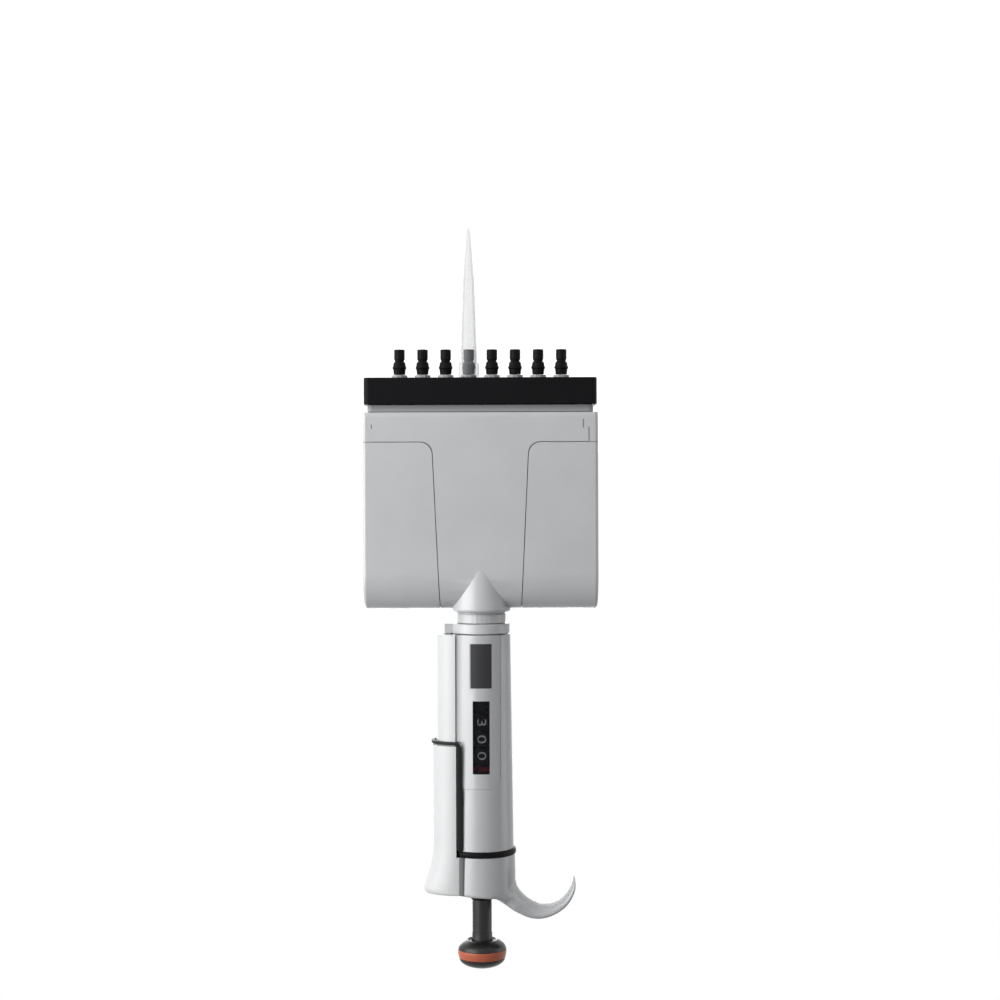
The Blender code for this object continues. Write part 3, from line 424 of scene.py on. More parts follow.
def cut(mesh, *tools):
    """The mesh with each tool's volume taken away."""
    cutters = []
    for tool in tools:
        cutter = bpy.data.objects.new(tool.name, tool)
        bpy.context.scene.collection.objects.link(cutter)
        cutters.append(cutter)

    def carved(holder):
        for cutter in cutters:
            step = holder.modifiers.new("carved", 'BOOLEAN')
            step.operation = 'DIFFERENCE'
            step.solver = 'MANIFOLD'
            step.object = cutter

    made = modified(mesh, carved)
    for cutter in cutters:
        bpy.data.objects.remove(cutter)
    return made


WELD = 0.000004
FLAT_ANGLE = 0.4
EDGE_SOFT = 0.12 * MM
EDGE_ANGLE = 32.0


def refined(node, reshape=None):
    """The CAD node's own surface, welded, with softened edges and smooth shading."""
    mesh = nodes[node].data.copy()
    work = bmesh.new()
    work.from_mesh(mesh)
    bmesh.ops.remove_doubles(work, verts=work.verts, dist=WELD)
    bmesh.ops.dissolve_limit(work, angle_limit=math.radians(FLAT_ANGLE), verts=work.verts, edges=work.edges)
    work.to_mesh(mesh)
    work.free()
    mesh.name = node + "_surface"
    clear_normals(mesh)

    def bevel(holder):
        step = holder.modifiers.new("soft", 'BEVEL')
        step.width = EDGE_SOFT
        step.segments = 3
        step.limit_method = 'ANGLE'
        step.angle_limit = math.radians(EDGE_ANGLE)
        step.harden_normals = False

    mesh = modified(mesh, bevel)
    if reshape:
        reshape(mesh)
    shade(mesh, EDGE_ANGLE + 8.0)
    mesh = modified(mesh, even_normals)
    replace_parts(linked(node + "_surface", mesh, looks_of(node), nodes[node]["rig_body"]), node)


# Shells with softened edges, and the module's skin rounded off at its ends

MODULE_HALF = 10.8 * MM
SHOULDER_Z = 133.7 * MM
SHOULDER_HEIGHT = 14.4 * MM
MODULE_FOOT = 72.2 * MM
FOOT_RISE = 2.3 * MM
FOOT_INSET = 1.3 * MM
END_START = 44.0 * MM
END_ROUND = 1.3 * MM
END_CUTS = (44.0, 44.3, 44.6, 44.85, 45.05, 45.2)
SKIN_SHARE = 0.89


def module_skin(z):
    """Half depth of the module's outer skin at a height below its shoulder."""
    return MODULE_HALF - FOOT_INSET * max(0.0, MODULE_FOOT + FOOT_RISE - z) / FOOT_RISE


def end_rounded(mesh):
    """The module's outer skin, which lies beyond SKIN_SHARE of its ellipse, rounded off at both ends."""
    work = bmesh.new()
    work.from_mesh(mesh)
    for side in (-1, 1):
        for x in END_CUTS:
            parts = work.verts[:] + work.edges[:] + work.faces[:]
            place = (side * x * MM, 0, 0)
            bmesh.ops.bisect_plane(work, geom=parts, dist=0.000001, plane_co=place, plane_no=(1, 0, 0))
    for vert in work.verts:
        x, y, z = vert.co
        past = min(END_ROUND, max(0.0, abs(x) - END_START))
        drop = END_ROUND - math.sqrt(END_ROUND ** 2 - past ** 2)
        rise = max(0.0, z - SHOULDER_Z)
        if (y / module_skin(z)) ** 2 + (rise / SHOULDER_HEIGHT) ** 2 > SKIN_SHARE:
            vert.co.y = y * (1 - drop / MODULE_HALF)
            vert.co.z = z - rise * drop / MODULE_HALF
    work.to_mesh(mesh)
    work.free()


for shell, slot in (("handle_body", "grey_shell"), ("window_plate", "grey_shell"),
                    ("ejector_guide", "white_shell"), ("ejector_collar", "white_shell"),
                    ("label_inlay", "label_grey")):
    refined(shell)
for place in ("front", "back", "left", "right"):
    refined("module_%s_cover" % place, end_rounded)
refined("ejector_bar")


# Bedding behind the plate's edge and the lip beside the guide, which close their gaps

SHELL_LOW = 158.0 * MM
SHELL_HIGH = 241.0 * MM
PLATE_HIGH = 217.05 * MM
WINDOW_LOW = 183.2 * MM
WINDOW_HIGH = 211.2 * MM
WINDOW_HALF = 3.2 * MM
GUIDE_EDGE_X = 9.84 * MM
LIP_HIGH = 199.1 * MM


def shell_radius(z):
    """Radius of the handle's shell, which widens towards the hook."""
    return (11.35 + 1.05 * (z - SHELL_LOW) / (SHELL_HIGH - SHELL_LOW)) * MM


def gap_fillers():
    """Bedding, lips and sill, all fixed to the handle."""
    low, high = SHELL_LOW + 0.2 * MM, PLATE_HIGH
    near, deep = 0.13 * MM, 0.9 * MM
    bedding = revolved("plate_bedding", (
        (shell_radius(low) - near, low, 0), (shell_radius(high) - near, high, 0),
        (shell_radius(high) - deep, high, 0), (shell_radius(low) - deep, low, 0)), segments=144, closed=True)
    window = block("bedding_window", (-WINDOW_HALF - 0.1 * MM, WINDOW_HALF + 0.1 * MM), (-20 * MM, 0.0),
                   (WINDOW_LOW - 0.1 * MM, WINDOW_HIGH + 0.1 * MM))
    bedding = cut(bedding, window)
    bedding.name = "plate_bedding"
    shade(bedding, 40.0)
    linked("plate_bedding", bedding, grey_shell, "handle")
    for side, name in ((-1, "guide_lip_front"), (1, "guide_lip_back")):
        linked(name, guide_lip(name, side), grey_shell, "handle")
    sill = block("window_sill", (-WINDOW_HALF, WINDOW_HALF), (-9.3 * MM, -8.3 * MM),
                 (WINDOW_LOW, WINDOW_LOW + 1.55 * MM))
    linked("window_sill", sill, drum_black, "handle")


def guide_lip(name, side):
    """Lip that rises from the plate's surface to the guide's edge."""
    loops = []
    start = 7.0 * MM
    stop = (GUIDE_EDGE_X, 8.38 * MM)
    for z in (SHELL_LOW + 0.3 * MM, LIP_HIGH):
        flat = math.sqrt(shell_radius(z) ** 2 - start ** 2)
        bend = (7.6 * MM, flat - 0.6 * MM * start / flat)
        line = []
        for k in range(13):
            t = k / 12
            ends = zip((start, flat), bend, stop)
            line.append(tuple(a * (1 - t) ** 2 + 2 * b * t * (1 - t) + c * t * t for a, b, c in ends))
        line += [(GUIDE_EDGE_X, 6.2 * MM), (8.6 * MM, 6.4 * MM), (7.4 * MM, flat - 1.2 * MM)]
        loops.append([(x, side * y, z) for x, y in line])
    return lofted(name, loops, 40.0)


gap_fillers()


# Neck fairing, the backing behind the module's seams in painted shade, and the joints at its ends

JOINT_NEAR = 41.56 * MM
JOINT_FAR = 41.94 * MM
SEAM_LOW = 83.5 * MM
SEAM_HIGH = 83.8 * MM
SLOT_LEFT = (76.9 * MM, 78.5 * MM)
SLOT_RIGHT_LOW = 78.0 * MM
LATCH_X = (-39.85 * MM, -39.4 * MM)
LATCH_Y = (-10.82 * MM, -10.6 * MM)
LATCH_Z = (75.0 * MM, 78.3 * MM)
BACKING_START = 13.0 * MM
BACKING_END = 43.9 * MM


def neck_fairing():
    """The sleeve at the root of the module's neck, with a rolled upper edge."""
    outline = ((10.3, 132.6), (10.70, 132.6), (10.82, 133.3), (10.93, 134.6), (11.0, 137.0), (11.06, 144.0),
               (11.20, 146.6), (11.42, 147.9), (11.40, 148.6), (11.0, 149.15), (10.3, 149.35))
    mesh = revolved("neck_fairing", [(r * MM, z * MM, 0) for r, z in outline], segments=144, closed=True)
    linked("neck_fairing", mesh, module_shell, "module")


def seam_backing(name, x_low, x_high):
    """Arch under the module's skin, seen only as the floor of its seams, dark grey as the painted shade in
    them.
    """
    near, deep, foot = 0.62 * MM, 1.3 * MM, MODULE_FOOT + 2.4 * MM
    outer, inner = [(MODULE_HALF - near, foot)], [(MODULE_HALF - deep, foot)]
    for i in range(33):
        turn = math.pi * i / 32
        for line, inset in ((outer, near), (inner, deep)):
            height = SHOULDER_Z + (SHOULDER_HEIGHT - inset) * math.sin(turn)
            line.append(((MODULE_HALF - inset) * math.cos(turn), height))
    outer.append((-MODULE_HALF + near, foot))
    inner.append((-MODULE_HALF + deep, foot))
    loops = [((x_low, oy, oz), (x_high, oy, oz), (x_high, iy, iz), (x_low, iy, iz))
             for (oy, oz), (iy, iz) in zip(outer, inner)]
    linked(name, lofted(name, loops, 30.0), seam_painted_shade, "module")


def joint_cover(name, side, face, low, high):
    """Thin tongue that fills the upright joint between a front or back cover and the end cover beside it."""
    inner = 9.1 * MM
    bend = min(high, max(low, MODULE_FOOT + FOOT_RISE))
    line = [(inner, low)] + [(module_skin(z) - 0.03 * MM, z) for z in (low, bend, high)] + [(inner, high)]
    outline = [point for i, point in enumerate(line) if i == 0 or point != line[i - 1]]
    mesh = prism(name, outline, JOINT_NEAR, JOINT_FAR, lambda point, x: (side * x, face * point[0], point[1]))
    linked(name, mesh, module_shell, "module")


def end_seam(name, side):
    """The housing's seam carried on round its end, as a thin line of painted shade."""
    def path(out):
        reach, middle = END_ROUND + out, MODULE_HALF - END_ROUND
        turns = [math.pi / 2 * i / 8 for i in range(9)]
        arc = [(END_START + reach * math.sin(t), middle + reach * math.cos(t)) for t in turns]
        half = [(JOINT_FAR - 0.04 * MM, MODULE_HALF + out)] + arc
        return half + [(x, -y) for x, y in reversed(half)]

    outline = path(0.015 * MM) + list(reversed(path(-0.3 * MM)))
    mesh = prism(name, outline, SEAM_LOW, SEAM_HIGH, lambda point, z: (side * point[0], point[1], z))
    linked(name, mesh, seam_painted_shade, "module")


def joints_at_the_ends():
    """The end covers' joints, left open only where the real one shows as a slot."""
    low, high = MODULE_FOOT + 0.05 * MM, SEAM_LOW - 0.02 * MM
    for face, word in ((-1, "front"), (1, "back")):
        joint_cover("joint_cover_left_low_" + word, 1, face, low, SLOT_LEFT[0])
        joint_cover("joint_cover_left_high_" + word, 1, face, SLOT_LEFT[1], high)
        joint_cover("joint_cover_right_" + word, -1, face, low, SLOT_RIGHT_LOW)
    end_seam("end_seam_left", 1)
    end_seam("end_seam_right", -1)
    # The latch slot as a flat dark patch of painted shade on the front.
    linked("latch_slot", block("latch_slot", LATCH_X, LATCH_Y, LATCH_Z), seam_painted_shade, "module")


neck_fairing()
joints_at_the_ends()
seam_backing("seam_backing_left", -BACKING_END, -BACKING_START)
seam_backing("seam_backing_right", BACKING_START, BACKING_END)


# Tip cones and the pipette tip

CONES = 8
CONE_PITCH = 9.0 * MM
FIRST_CONE_X = -31.5 * MM
TIPPED_CONE = 5
CONE_PROFILE = ((0.7, 47.4, 0), (2.07, 47.4, 0.3), (2.07, 51.2, 0.2), (1.78, 51.65, 0), (1.78, 52.05, 0),
                (2.32, 52.55, 0.3), (2.45, 53.8, 0.3), (2.72, 54.3, 0), (2.72, 54.7, 0), (2.42, 55.1, 0.3),
                (2.22, 57.1, 0), (0.7, 57.1, 0))
TIP_PROFILE = ((4.08, 57.98, 0.3), (4.08, 52.9, 0.4), (3.25, 52.3, 0.4), (3.10, 44.0, 0), (2.30, 22.0, 0),
               (0.75, 0.02, 0), (0.36, 0.02, 0), (1.95, 22.0, 0), (2.68, 44.0, 0), (2.80, 52.0, 0),
               (2.80, 57.98, 0))


def cone_x(number):
    """Place of a cone, counted from -X."""
    return FIRST_CONE_X + CONE_PITCH * (number - 1)


def turned(node, profile, x, segments, look, slot):
    """A node's solid turned anew from its profile in millimetres, about the axis at x."""
    points = [(r * MM, z * MM, soft * MM) for r, z, soft in profile]
    mesh = revolved(node + "_surface", points, (x, 0.0), segments, 35.0, True)
    in_place_of(mesh, look, node)


def cones_and_tip():
    for number in range(1, CONES + 1):
        turned("tip_cone_%d" % number, CONE_PROFILE, cone_x(number), 48, black_plastic, "black_plastic")
    turned("pipette_tip", TIP_PROFILE, cone_x(TIPPED_CONE), 64, clear_tip, "clear_tip")


cones_and_tip()


# Button trim: one rubber strip, swept round the button's lower end and down its two edges

TRIM_CENTRE = 8.494 * MM
TRIM_OUTER = 10.95 * MM
TRIM_INNER = 9.75 * MM
TRIM_BAND_Z = 199.6 * MM
TRIM_BEND = 1.9 * MM
TRIM_TURN = 1.6035
TRIM_LEVELS = (241.0, 240.6, 240.0, 238.0, 234.0, 230.0, 226.0, 222.0, 219.0, 218.0, 217.2, 216.4, 215.4,
               212.0, 208.0, 204.0)
TRIM_TAPER_Z = 239.9
TRIM_TAPER = 1.15
TRIM_SECTION = ((-1.0, 0.0), (-1.0, 0.72), (-0.93, 0.88), (-0.8, 0.97), (-0.6, 1.0), (0.6, 1.0), (0.8, 0.97),
                (0.93, 0.88), (1.0, 0.72), (1.0, 0.0))


def trim_path():
    """Centre points of the strip, unrolled as (arc length, z, half width)."""
    front = -TRIM_TURN * TRIM_OUTER
    shift, slim, band_half = 0.46 * MM, 0.80 * MM, 0.58 * MM
    line = []
    for z in TRIM_LEVELS:
        beside = eased(z * MM, 216.6 * MM, 218.0 * MM)
        middle = front + (0.46 - 0.30 * beside) * MM
        half = (0.80 + 0.30 * beside) * MM
        if z > TRIM_TAPER_Z:
            half *= math.sqrt(max(0.05, 1.0 - ((z - TRIM_TAPER_Z) / TRIM_TAPER) ** 2))
        line.append((middle, z * MM, half))
    start = front + shift
    for k in range(9):
        turn = math.radians(90.0 * k / 8)
        line.append((start + TRIM_BEND * (1 - math.cos(turn)), TRIM_BAND_Z + TRIM_BEND * (1 - math.sin(turn)),
                     slim + (band_half - slim) * k / 8))
    stop = start + TRIM_BEND
    count = 40
    line += [(stop * (1 - k / count), TRIM_BAND_Z, band_half) for k in range(1, count + 1)]
    return line + [(-u, z, half) for u, z, half in line[-2::-1]]


def trim_surface():
    path = trim_path()
    loops = []
    for i, (u, z, half) in enumerate(path):
        before, after = path[max(0, i - 1)], path[min(len(path) - 1, i + 1)]
        ahead = Vector((after[0] - before[0], after[1] - before[1])).normalized()
        across = Vector((-ahead.y, ahead.x))
        loop = []
        for side, height in TRIM_SECTION:
            du, dz = across * side * half
            radius = TRIM_INNER + (TRIM_OUTER - TRIM_INNER) * height
            turn = (u + du) / TRIM_OUTER
            loop.append((TRIM_CENTRE + radius * math.cos(turn), radius * math.sin(turn), z + dz))
        loops.append(loop)
    mesh = lofted("button_trim_surface", loops, 50.0)
    in_place_of(mesh, trim_rubber, "button_trim")


# Finger hook: collar and arm grown together into one smooth casting

HOOK_CENTRE = (-24.2 * MM, 252.0 * MM)
HOOK_TOP = 258.2 * MM
HOOK_LOW = 243.35 * MM
COLLAR_RADIUS = 13.2 * MM
HOOK_CORE = 9.2 * MM
HOOK_INSIDE = ((18, 10.9), (85, 10.9), (110, 10.65), (134, 10.5), (160, 10.7), (180, 11.0))
HOOK_DEPTHS = ((18, 10.9), (22, 10.4), (26.4, 9.2), (33.3, 7.8), (38, 7.3), (49.4, 6.2), (67, 5.9), (80, 5.6),
               (94, 4.95), (109, 4.3), (127, 3.75), (145, 3.0), (160, 2.3), (172, 1.3), (180, 0.6))
HOOK_WIDTHS = ((18, 20.0), (60, 13.5), (130, 11.6), (180, 8.0))
HOOK_SWELL = ((-14, 3.0), (-11, 2.9), (-9, 2.6), (-7, 1.7), (-5, 1.0), (0, 0.5), (6, 0.2), (9, 0.0),
              (20, 0.0))
HOOK_START = 18.0
HOOK_TIP = 180.0
HOOK_TAPER = 172.0
COLLAR_RIM = 1.0 * MM


def along(table, at):
    """A value read from a table of (at, value) by straight lines between its entries."""
    for (a0, v0), (a1, v1) in zip(table, table[1:]):
        if at <= a1:
            return v0 + (v1 - v0) * (at - a0) / (a1 - a0)
    return table[-1][1]


def flowing(table, at, reach):
    """The table's value with its corners rounded over the given reach."""
    low, high = table[0][0], table[-1][0]
    reach = min(reach, at - low, high - at)
    return sum(along(table, at + reach * k / 4) for k in range(-4, 5)) / 9


def hook_section():
    """The arm's section as (outward, across), each from -1 to 1: round inside, creased near the outside."""
    inside = []
    for i in range(33):
        turn = math.radians(90.0 + 180.0 * i / 32)
        inside.append((0.58 + 1.58 * math.cos(turn), math.sin(turn)))
    rim = [(0.7, 0.975), (0.82, 0.93), (0.91, 0.86), (0.97, 0.77), (1.0, 0.64), (1.0, 0.5), (1.0, 0.3),
           (1.0, 0.1)]
    return inside + [(out, -across) for out, across in rim] + rim[::-1]


def hook_arm():
    """The arm swept round its centre, with its depth and width read from the tables by angle."""
    section = hook_section()
    steps = 144
    loops = []
    for step in range(steps + 1):
        angle = HOOK_START + (HOOK_TIP - HOOK_START) * step / steps
        turn = math.radians(angle)
        inside = flowing(HOOK_INSIDE, angle, 14.0) * MM
        deep = flowing(HOOK_DEPTHS, angle, 9.0) * MM / 2
        wide = flowing(HOOK_WIDTHS, angle, 20.0) * MM / 2
        if angle > HOOK_TAPER:
            wide *= math.sqrt(max(0.12, 1.0 - ((angle - HOOK_TAPER) / 8.6) ** 2))
        loop = []
        for out, across in section:
            reach = inside + deep + out * deep
            x = HOOK_CENTRE[0] + reach * math.cos(turn)
            z = HOOK_CENTRE[1] + reach * math.sin(turn)
            loop.append((x, across * wide, z))
        loops.append(loop)
    return lofted("hook_arm", loops)


def surface_tree(mesh):
    return BVHTree.FromPolygons([v.co for v in mesh.vertices], [tuple(f.vertices) for f in mesh.polygons])


def hook_collar():
    """The collar's solid cylinder with a rounded rim, swollen towards the arm's root."""
    rise = HOOK_TOP - HOOK_LOW - COLLAR_RIM
    side = [(COLLAR_RADIUS - 0.3 * MM * (1 - i / 24), HOOK_LOW + rise * i / 24, 0) for i in range(25)]
    rim = []
    for i in range(1, 7):
        turn = math.pi / 2 * i / 6
        rim.append((COLLAR_RADIUS - 0.9 * MM * (1 - math.cos(turn)),
                    HOOK_TOP - COLLAR_RIM + COLLAR_RIM * math.sin(turn), 0))
    face = [(r * MM, HOOK_TOP, 0) for r in (11.8, 11.2, 10.6, 10.0, 9.4, 8.0, 6.0)]
    outline = [(0.0, HOOK_LOW, 0)] + side + rim + face + [(0.0, HOOK_TOP, 0)]
    collar = revolved("finger_hook_surface", outline, segments=192)
    for vert in collar.vertices:
        x, y, z = vert.co
        vert.co.z += along(HOOK_SWELL, x / MM) * MM * eased(z, HOOK_TOP - 5 * MM, HOOK_TOP - 0.5 * MM)
    return collar


def hook_surface():
    collar = hook_collar()
    arm = hook_arm()
    surfaces = [surface_tree(collar), surface_tree(arm)]
    grown = bpy.data.objects.new("hook_arm", arm)
    bpy.context.scene.collection.objects.link(grown)

    def joined(holder):
        step = holder.modifiers.new("joined", 'BOOLEAN')
        step.operation = 'UNION'
        step.solver = 'MANIFOLD'
        step.object = grown

    mesh = modified(collar, joined)
    bpy.data.objects.remove(grown)
    root = []
    for vert in mesh.vertices:
        seam = max(tree.find_nearest(vert.co)[3] for tree in surfaces)
        root.append(1.0 - eased(seam, 0.8 * MM, 3.6 * MM))

    def blended(holder):
        group = holder.vertex_groups.new(name="root")
        for index, weight in enumerate(root):
            if weight > 0:
                group.add([index], weight, 'REPLACE')
        step = holder.modifiers.new("blended", 'SMOOTH')
        step.factor = 0.6
        step.iterations = 60
        step.vertex_group = "root"

    mesh = modified(mesh, blended)
    mesh = cut(mesh, cylinder("hook_bore", HOOK_CORE + 0.15 * MM, HOOK_LOW - 2 * MM, HOOK_TOP + 8 * MM))
    mesh.name = "finger_hook_surface"
    shade(mesh, 50.0)
    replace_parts(linked("finger_hook_surface", mesh, grey_shell, "hook"), "finger_hook")


hook_surface()
trim_surface()


# Plunger knob and stem

STEM_RADIUS = 3.8 * MM
STEM_LOW = 220.7 * MM
KNOB_RADIUS = 9.45 * MM
KNOB_LOW = 277.1 * MM
KNOB_TOP = 287.9 * MM
COLOUR_LOW = 280.5 * MM
COLOUR_HIGH = 283.9 * MM


def knob_pieces():
    """Body, colour ring and cap of the knob, each turned, and the stem below them."""
    radius, low, base = KNOB_RADIUS, KNOB_LOW, COLOUR_LOW
    core = STEM_RADIUS - 0.1 * MM
    body = revolved("knob_body_surface", (
        (0.0, base + 0.4 * MM, 0), (radius - 0.6 * MM, base + 0.4 * MM, 0),
        (radius - 0.02 * MM, base, 0.1 * MM),
        (radius - 0.45 * MM, low + 2.1 * MM, 1.2 * MM), (radius * 0.8, low + 0.7 * MM, 1.5 * MM),
        (radius * 0.6, low - 0.35 * MM, 0.8 * MM), (radius * 0.52, low + 0.55 * MM, 0.6 * MM),
        (STEM_RADIUS + 0.25 * MM, low + 0.5 * MM, 0.6 * MM), (STEM_RADIUS + 0.12 * MM, low - 3.0 * MM, 0),
        (core, low - 3.0 * MM, 0), (core, low + 3.0 * MM, 0), (0.0, low + 3.0 * MM, 0)))
    colour = revolved("knob_colour_ring_surface", (
        (radius - 1.5 * MM, base + 0.1 * MM, 0), (radius + 0.03 * MM, base + 0.1 * MM, 0.25 * MM),
        (radius + 0.03 * MM, base + 1.3 * MM, 0.8 * MM), (radius - 0.42 * MM, COLOUR_HIGH, 0.25 * MM),
        (radius - 1.5 * MM, COLOUR_HIGH, 0)), closed=True)
    foot = COLOUR_HIGH + 0.1 * MM
    turns = [math.pi / 2 * i / 16 for i in range(16)]
    dome = [(radius * 0.945 * math.cos(t), foot + (KNOB_TOP - foot) * math.sin(t), 0) for t in turns]
    cap = revolved("knob_cap_surface", [(0.0, foot, 0)] + dome + [(0.0, KNOB_TOP, 0)])
    stem = cylinder("plunger_stem_surface", STEM_RADIUS, STEM_LOW, low + 2.0 * MM, segments=96)
    in_place_of(body, dark_plastic, "knob_body")
    in_place_of(colour, orange_plastic, "knob_colour_ring")
    in_place_of(cap, dark_plastic, "knob_cap")
    in_place_of(stem, dark_plastic, "plunger_stem")


def stem_seal():
    """The black lip ring that the stem slides through, on the collar's end."""
    inner, outer = STEM_RADIUS + 0.03 * MM, STEM_RADIUS + 0.45 * MM
    low, high = HOOK_TOP - 1.0 * MM, HOOK_TOP + 3.0 * MM
    outline = ((inner, low, 0), (outer, low, 0), (outer, high, 0.3 * MM), (inner, high + 0.1 * MM, 0.1 * MM))
    lip = revolved("stem_seal_lip", outline, closed=True)
    linked("stem_seal_lip", lip, black_plastic, "handle")


def hook_band():
    """The black ring under the hook's collar, a little proud of it."""
    inner, low, high = HOOK_CORE + 0.3 * MM, 241.1 * MM, HOOK_LOW - 0.12 * MM
    band = revolved("hook_ring_surface", (
        (inner, low, 0), (COLLAR_RADIUS, low, 0.3 * MM), (COLLAR_RADIUS + 0.2 * MM, 242.2 * MM, 0.8 * MM),
        (COLLAR_RADIUS, high, 0.3 * MM), (inner, high, 0)), closed=True)
    in_place_of(band, black_plastic, "hook_ring")


knob_pieces()
stem_seal()
hook_band()


# Ejector button, drawn out towards its end

BUTTON_CENTRE = 8.494 * MM
BUTTON_RADIUS = 10.70 * MM
BUTTON_LOW = 200.7 * MM
BUTTON_WALL = 1.3 * MM
BUTTON_START_X = 7.9 * MM
BUTTON_EDGE_X = 8.6 * MM
BUTTON_SKIRT_X = 9.7 * MM
BUTTON_FLARE = ((-60.0, 0.0), (-19.0, 0.0), (-17.0, 0.06), (-13.0, 0.5), (-8.4, 1.62), (-4.2, 3.1),
                (-2.4, 3.6), (-1.4, 3.62), (-0.6, 3.2), (-0.15, 2.6), (0.0, 1.9))
RAIL_OUTLINE = ((6.72, 11.32), (6.85, 11.50), (7.5, 11.42), (8.45, 10.95), (8.58, 10.75), (8.58, 10.1),
                (6.72, 11.2))


def button_solid():
    """The button as a solid half round bar that flares out at its end."""
    sides = 72
    loops = []
    levels = [BUTTON_LOW + (HOOK_TOP - BUTTON_LOW) * i / 60 for i in range(61)]
    levels += [HOOK_TOP - step * MM for step in (2.4, 1.9, 1.4, 0.6, 0.35, 0.15)]
    for z in sorted(set(levels)):
        flare = along(BUTTON_FLARE, (z - HOOK_TOP) / MM) * MM
        out = BUTTON_RADIUS + flare
        deep = BUTTON_RADIUS + min(0.0, flare - 3.0 * MM) * eased(z, HOOK_TOP - 1.4 * MM, HOOK_TOP)
        start = math.acos((BUTTON_START_X - BUTTON_CENTRE) / out)
        turns = [start - 2 * start * i / sides for i in range(sides + 1)]
        loops.append([(BUTTON_CENTRE + out * math.cos(t), -deep * math.sin(t), z) for t in turns])
    return lofted("ejector_button_surface", loops)


def button_surface():
    """The button hollowed, cut clear of the handle and the hook, with its edges softened."""
    below, above, room = BUTTON_LOW - MM, HOOK_TOP + MM, BUTTON_RADIUS - BUTTON_WALL
    collar_side = (HOOK_LOW - MM, HOOK_TOP + 20 * MM)
    mesh = cut(button_solid(),
               cylinder("button_room", room, below, HOOK_TOP - BUTTON_WALL, (BUTTON_CENTRE, 0.0)),
               cylinder("button_handle", COLLAR_RADIUS + 0.3 * MM, below, above),
               block("button_side", (-10 * MM, BUTTON_SKIRT_X), (-20 * MM, 20 * MM), (below, HOOK_LOW)),
               block("button_edge", (-12 * MM, BUTTON_EDGE_X), (-30 * MM, 30 * MM), collar_side))

    def softened(holder):
        step = holder.modifiers.new("soft", 'BEVEL')
        step.width = 0.35 * MM
        step.segments = 3
        step.limit_method = 'ANGLE'
        step.angle_limit = math.radians(45.0)

    mesh = modified(mesh, softened)
    mesh.name = "ejector_button_surface"
    shade(mesh, 40.0)
    in_place_of(modified(mesh, even_normals), white_shell, "ejector_button")


def side_rail(name, side):
    """Rail beside the button, between its edge and the hook's collar, dark grey as the painted shade of the
    gap there.
    """
    mesh = prism(name, RAIL_OUTLINE, HOOK_LOW - 0.1 * MM, HOOK_TOP - 0.3 * MM,
                 lambda point, z: (point[0] * MM, side * point[1] * MM, z), 50.0)
    linked(name, mesh, rail_painted_shade, "handle")


button_surface()
side_rail("side_rail_front", -1)
side_rail("side_rail_back", 1)


# Counter digits, wrapped around the drums

DIGIT_SIZE = 5.0 * MM
DIGIT_STRETCH = 1.42
DIGIT_THICKNESS = 0.05 * MM


def digit_mesh(text):
    curve = bpy.data.curves.new("digit", 'FONT')
    curve.body = text
    curve.size = DIGIT_SIZE
    curve.align_x = 'CENTER'
    curve.align_y = 'CENTER'
    curve.resolution_u = 4
    source = bpy.data.objects.new("digit", curve)
    bpy.context.scene.collection.objects.link(source)
    bpy.context.view_layer.update()
    mesh = bpy.data.meshes.new_from_object(source.evaluated_get(bpy.context.evaluated_depsgraph_get()))
    bpy.data.objects.remove(source)
    return mesh


def drum_digits(node, body, shown):
    """Ten digits around one drum. The shown digit faces -Y, with its top towards -X."""
    low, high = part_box(node)
    centre_z = (low.z + high.z) / 2
    radius = (high.x - low.x) / 2 + DIGIT_THICKNESS
    made = bmesh.new()
    for digit in range(10):
        turn = math.radians(36.0 * (digit - shown))
        mesh = digit_mesh(str(digit))
        first = len(made.verts)
        made.from_mesh(mesh)
        made.verts.ensure_lookup_table()
        for vert in made.verts[first:]:
            angle = turn + vert.co.y / radius
            z = centre_z + vert.co.x * DIGIT_STRETCH
            vert.co = Vector((-radius * math.sin(angle), -radius * math.cos(angle), z))
        bpy.data.meshes.remove(mesh)
    linked(body + "_digits", meshed(made, body + "_digits"), digit_white, body)


drum_digits("units_drum", "dial", 0)
drum_digits("tens_drum", "tens", 0)
drum_digits("hundreds_drum", "hundreds", 3)


SLEEVE_RADIUS = 5.57 * MM
BAND_LOW = 209.2 * MM
BAND_HIGH = 211.0 * MM


def red_band():
    """The red index band at the far end of the counter's window."""
    inner, outer = SLEEVE_RADIUS - 0.1 * MM, SLEEVE_RADIUS + 0.07 * MM
    outline = ((inner, BAND_LOW, 0), (outer, BAND_LOW, 0), (outer, BAND_HIGH, 0), (inner, BAND_HIGH, 0))
    band = revolved("red_index_band", outline, closed=True)
    linked("red_index_band", band, red_print, nodes["setting_sleeve"]["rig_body"])


red_band()


# Floor, backdrop, lights and camera

FLOOR_Z = -0.26
FLOOR_HALF = 14.0
AMBIENT = 0.13
CENTRE = (0.0, 0.0, 0.14)
CAMERA_PLACE = (-0.0075, -0.74, 0.106)
CAMERA_ROLL = math.radians(179.82)
CAMERA_LENS = 68.4


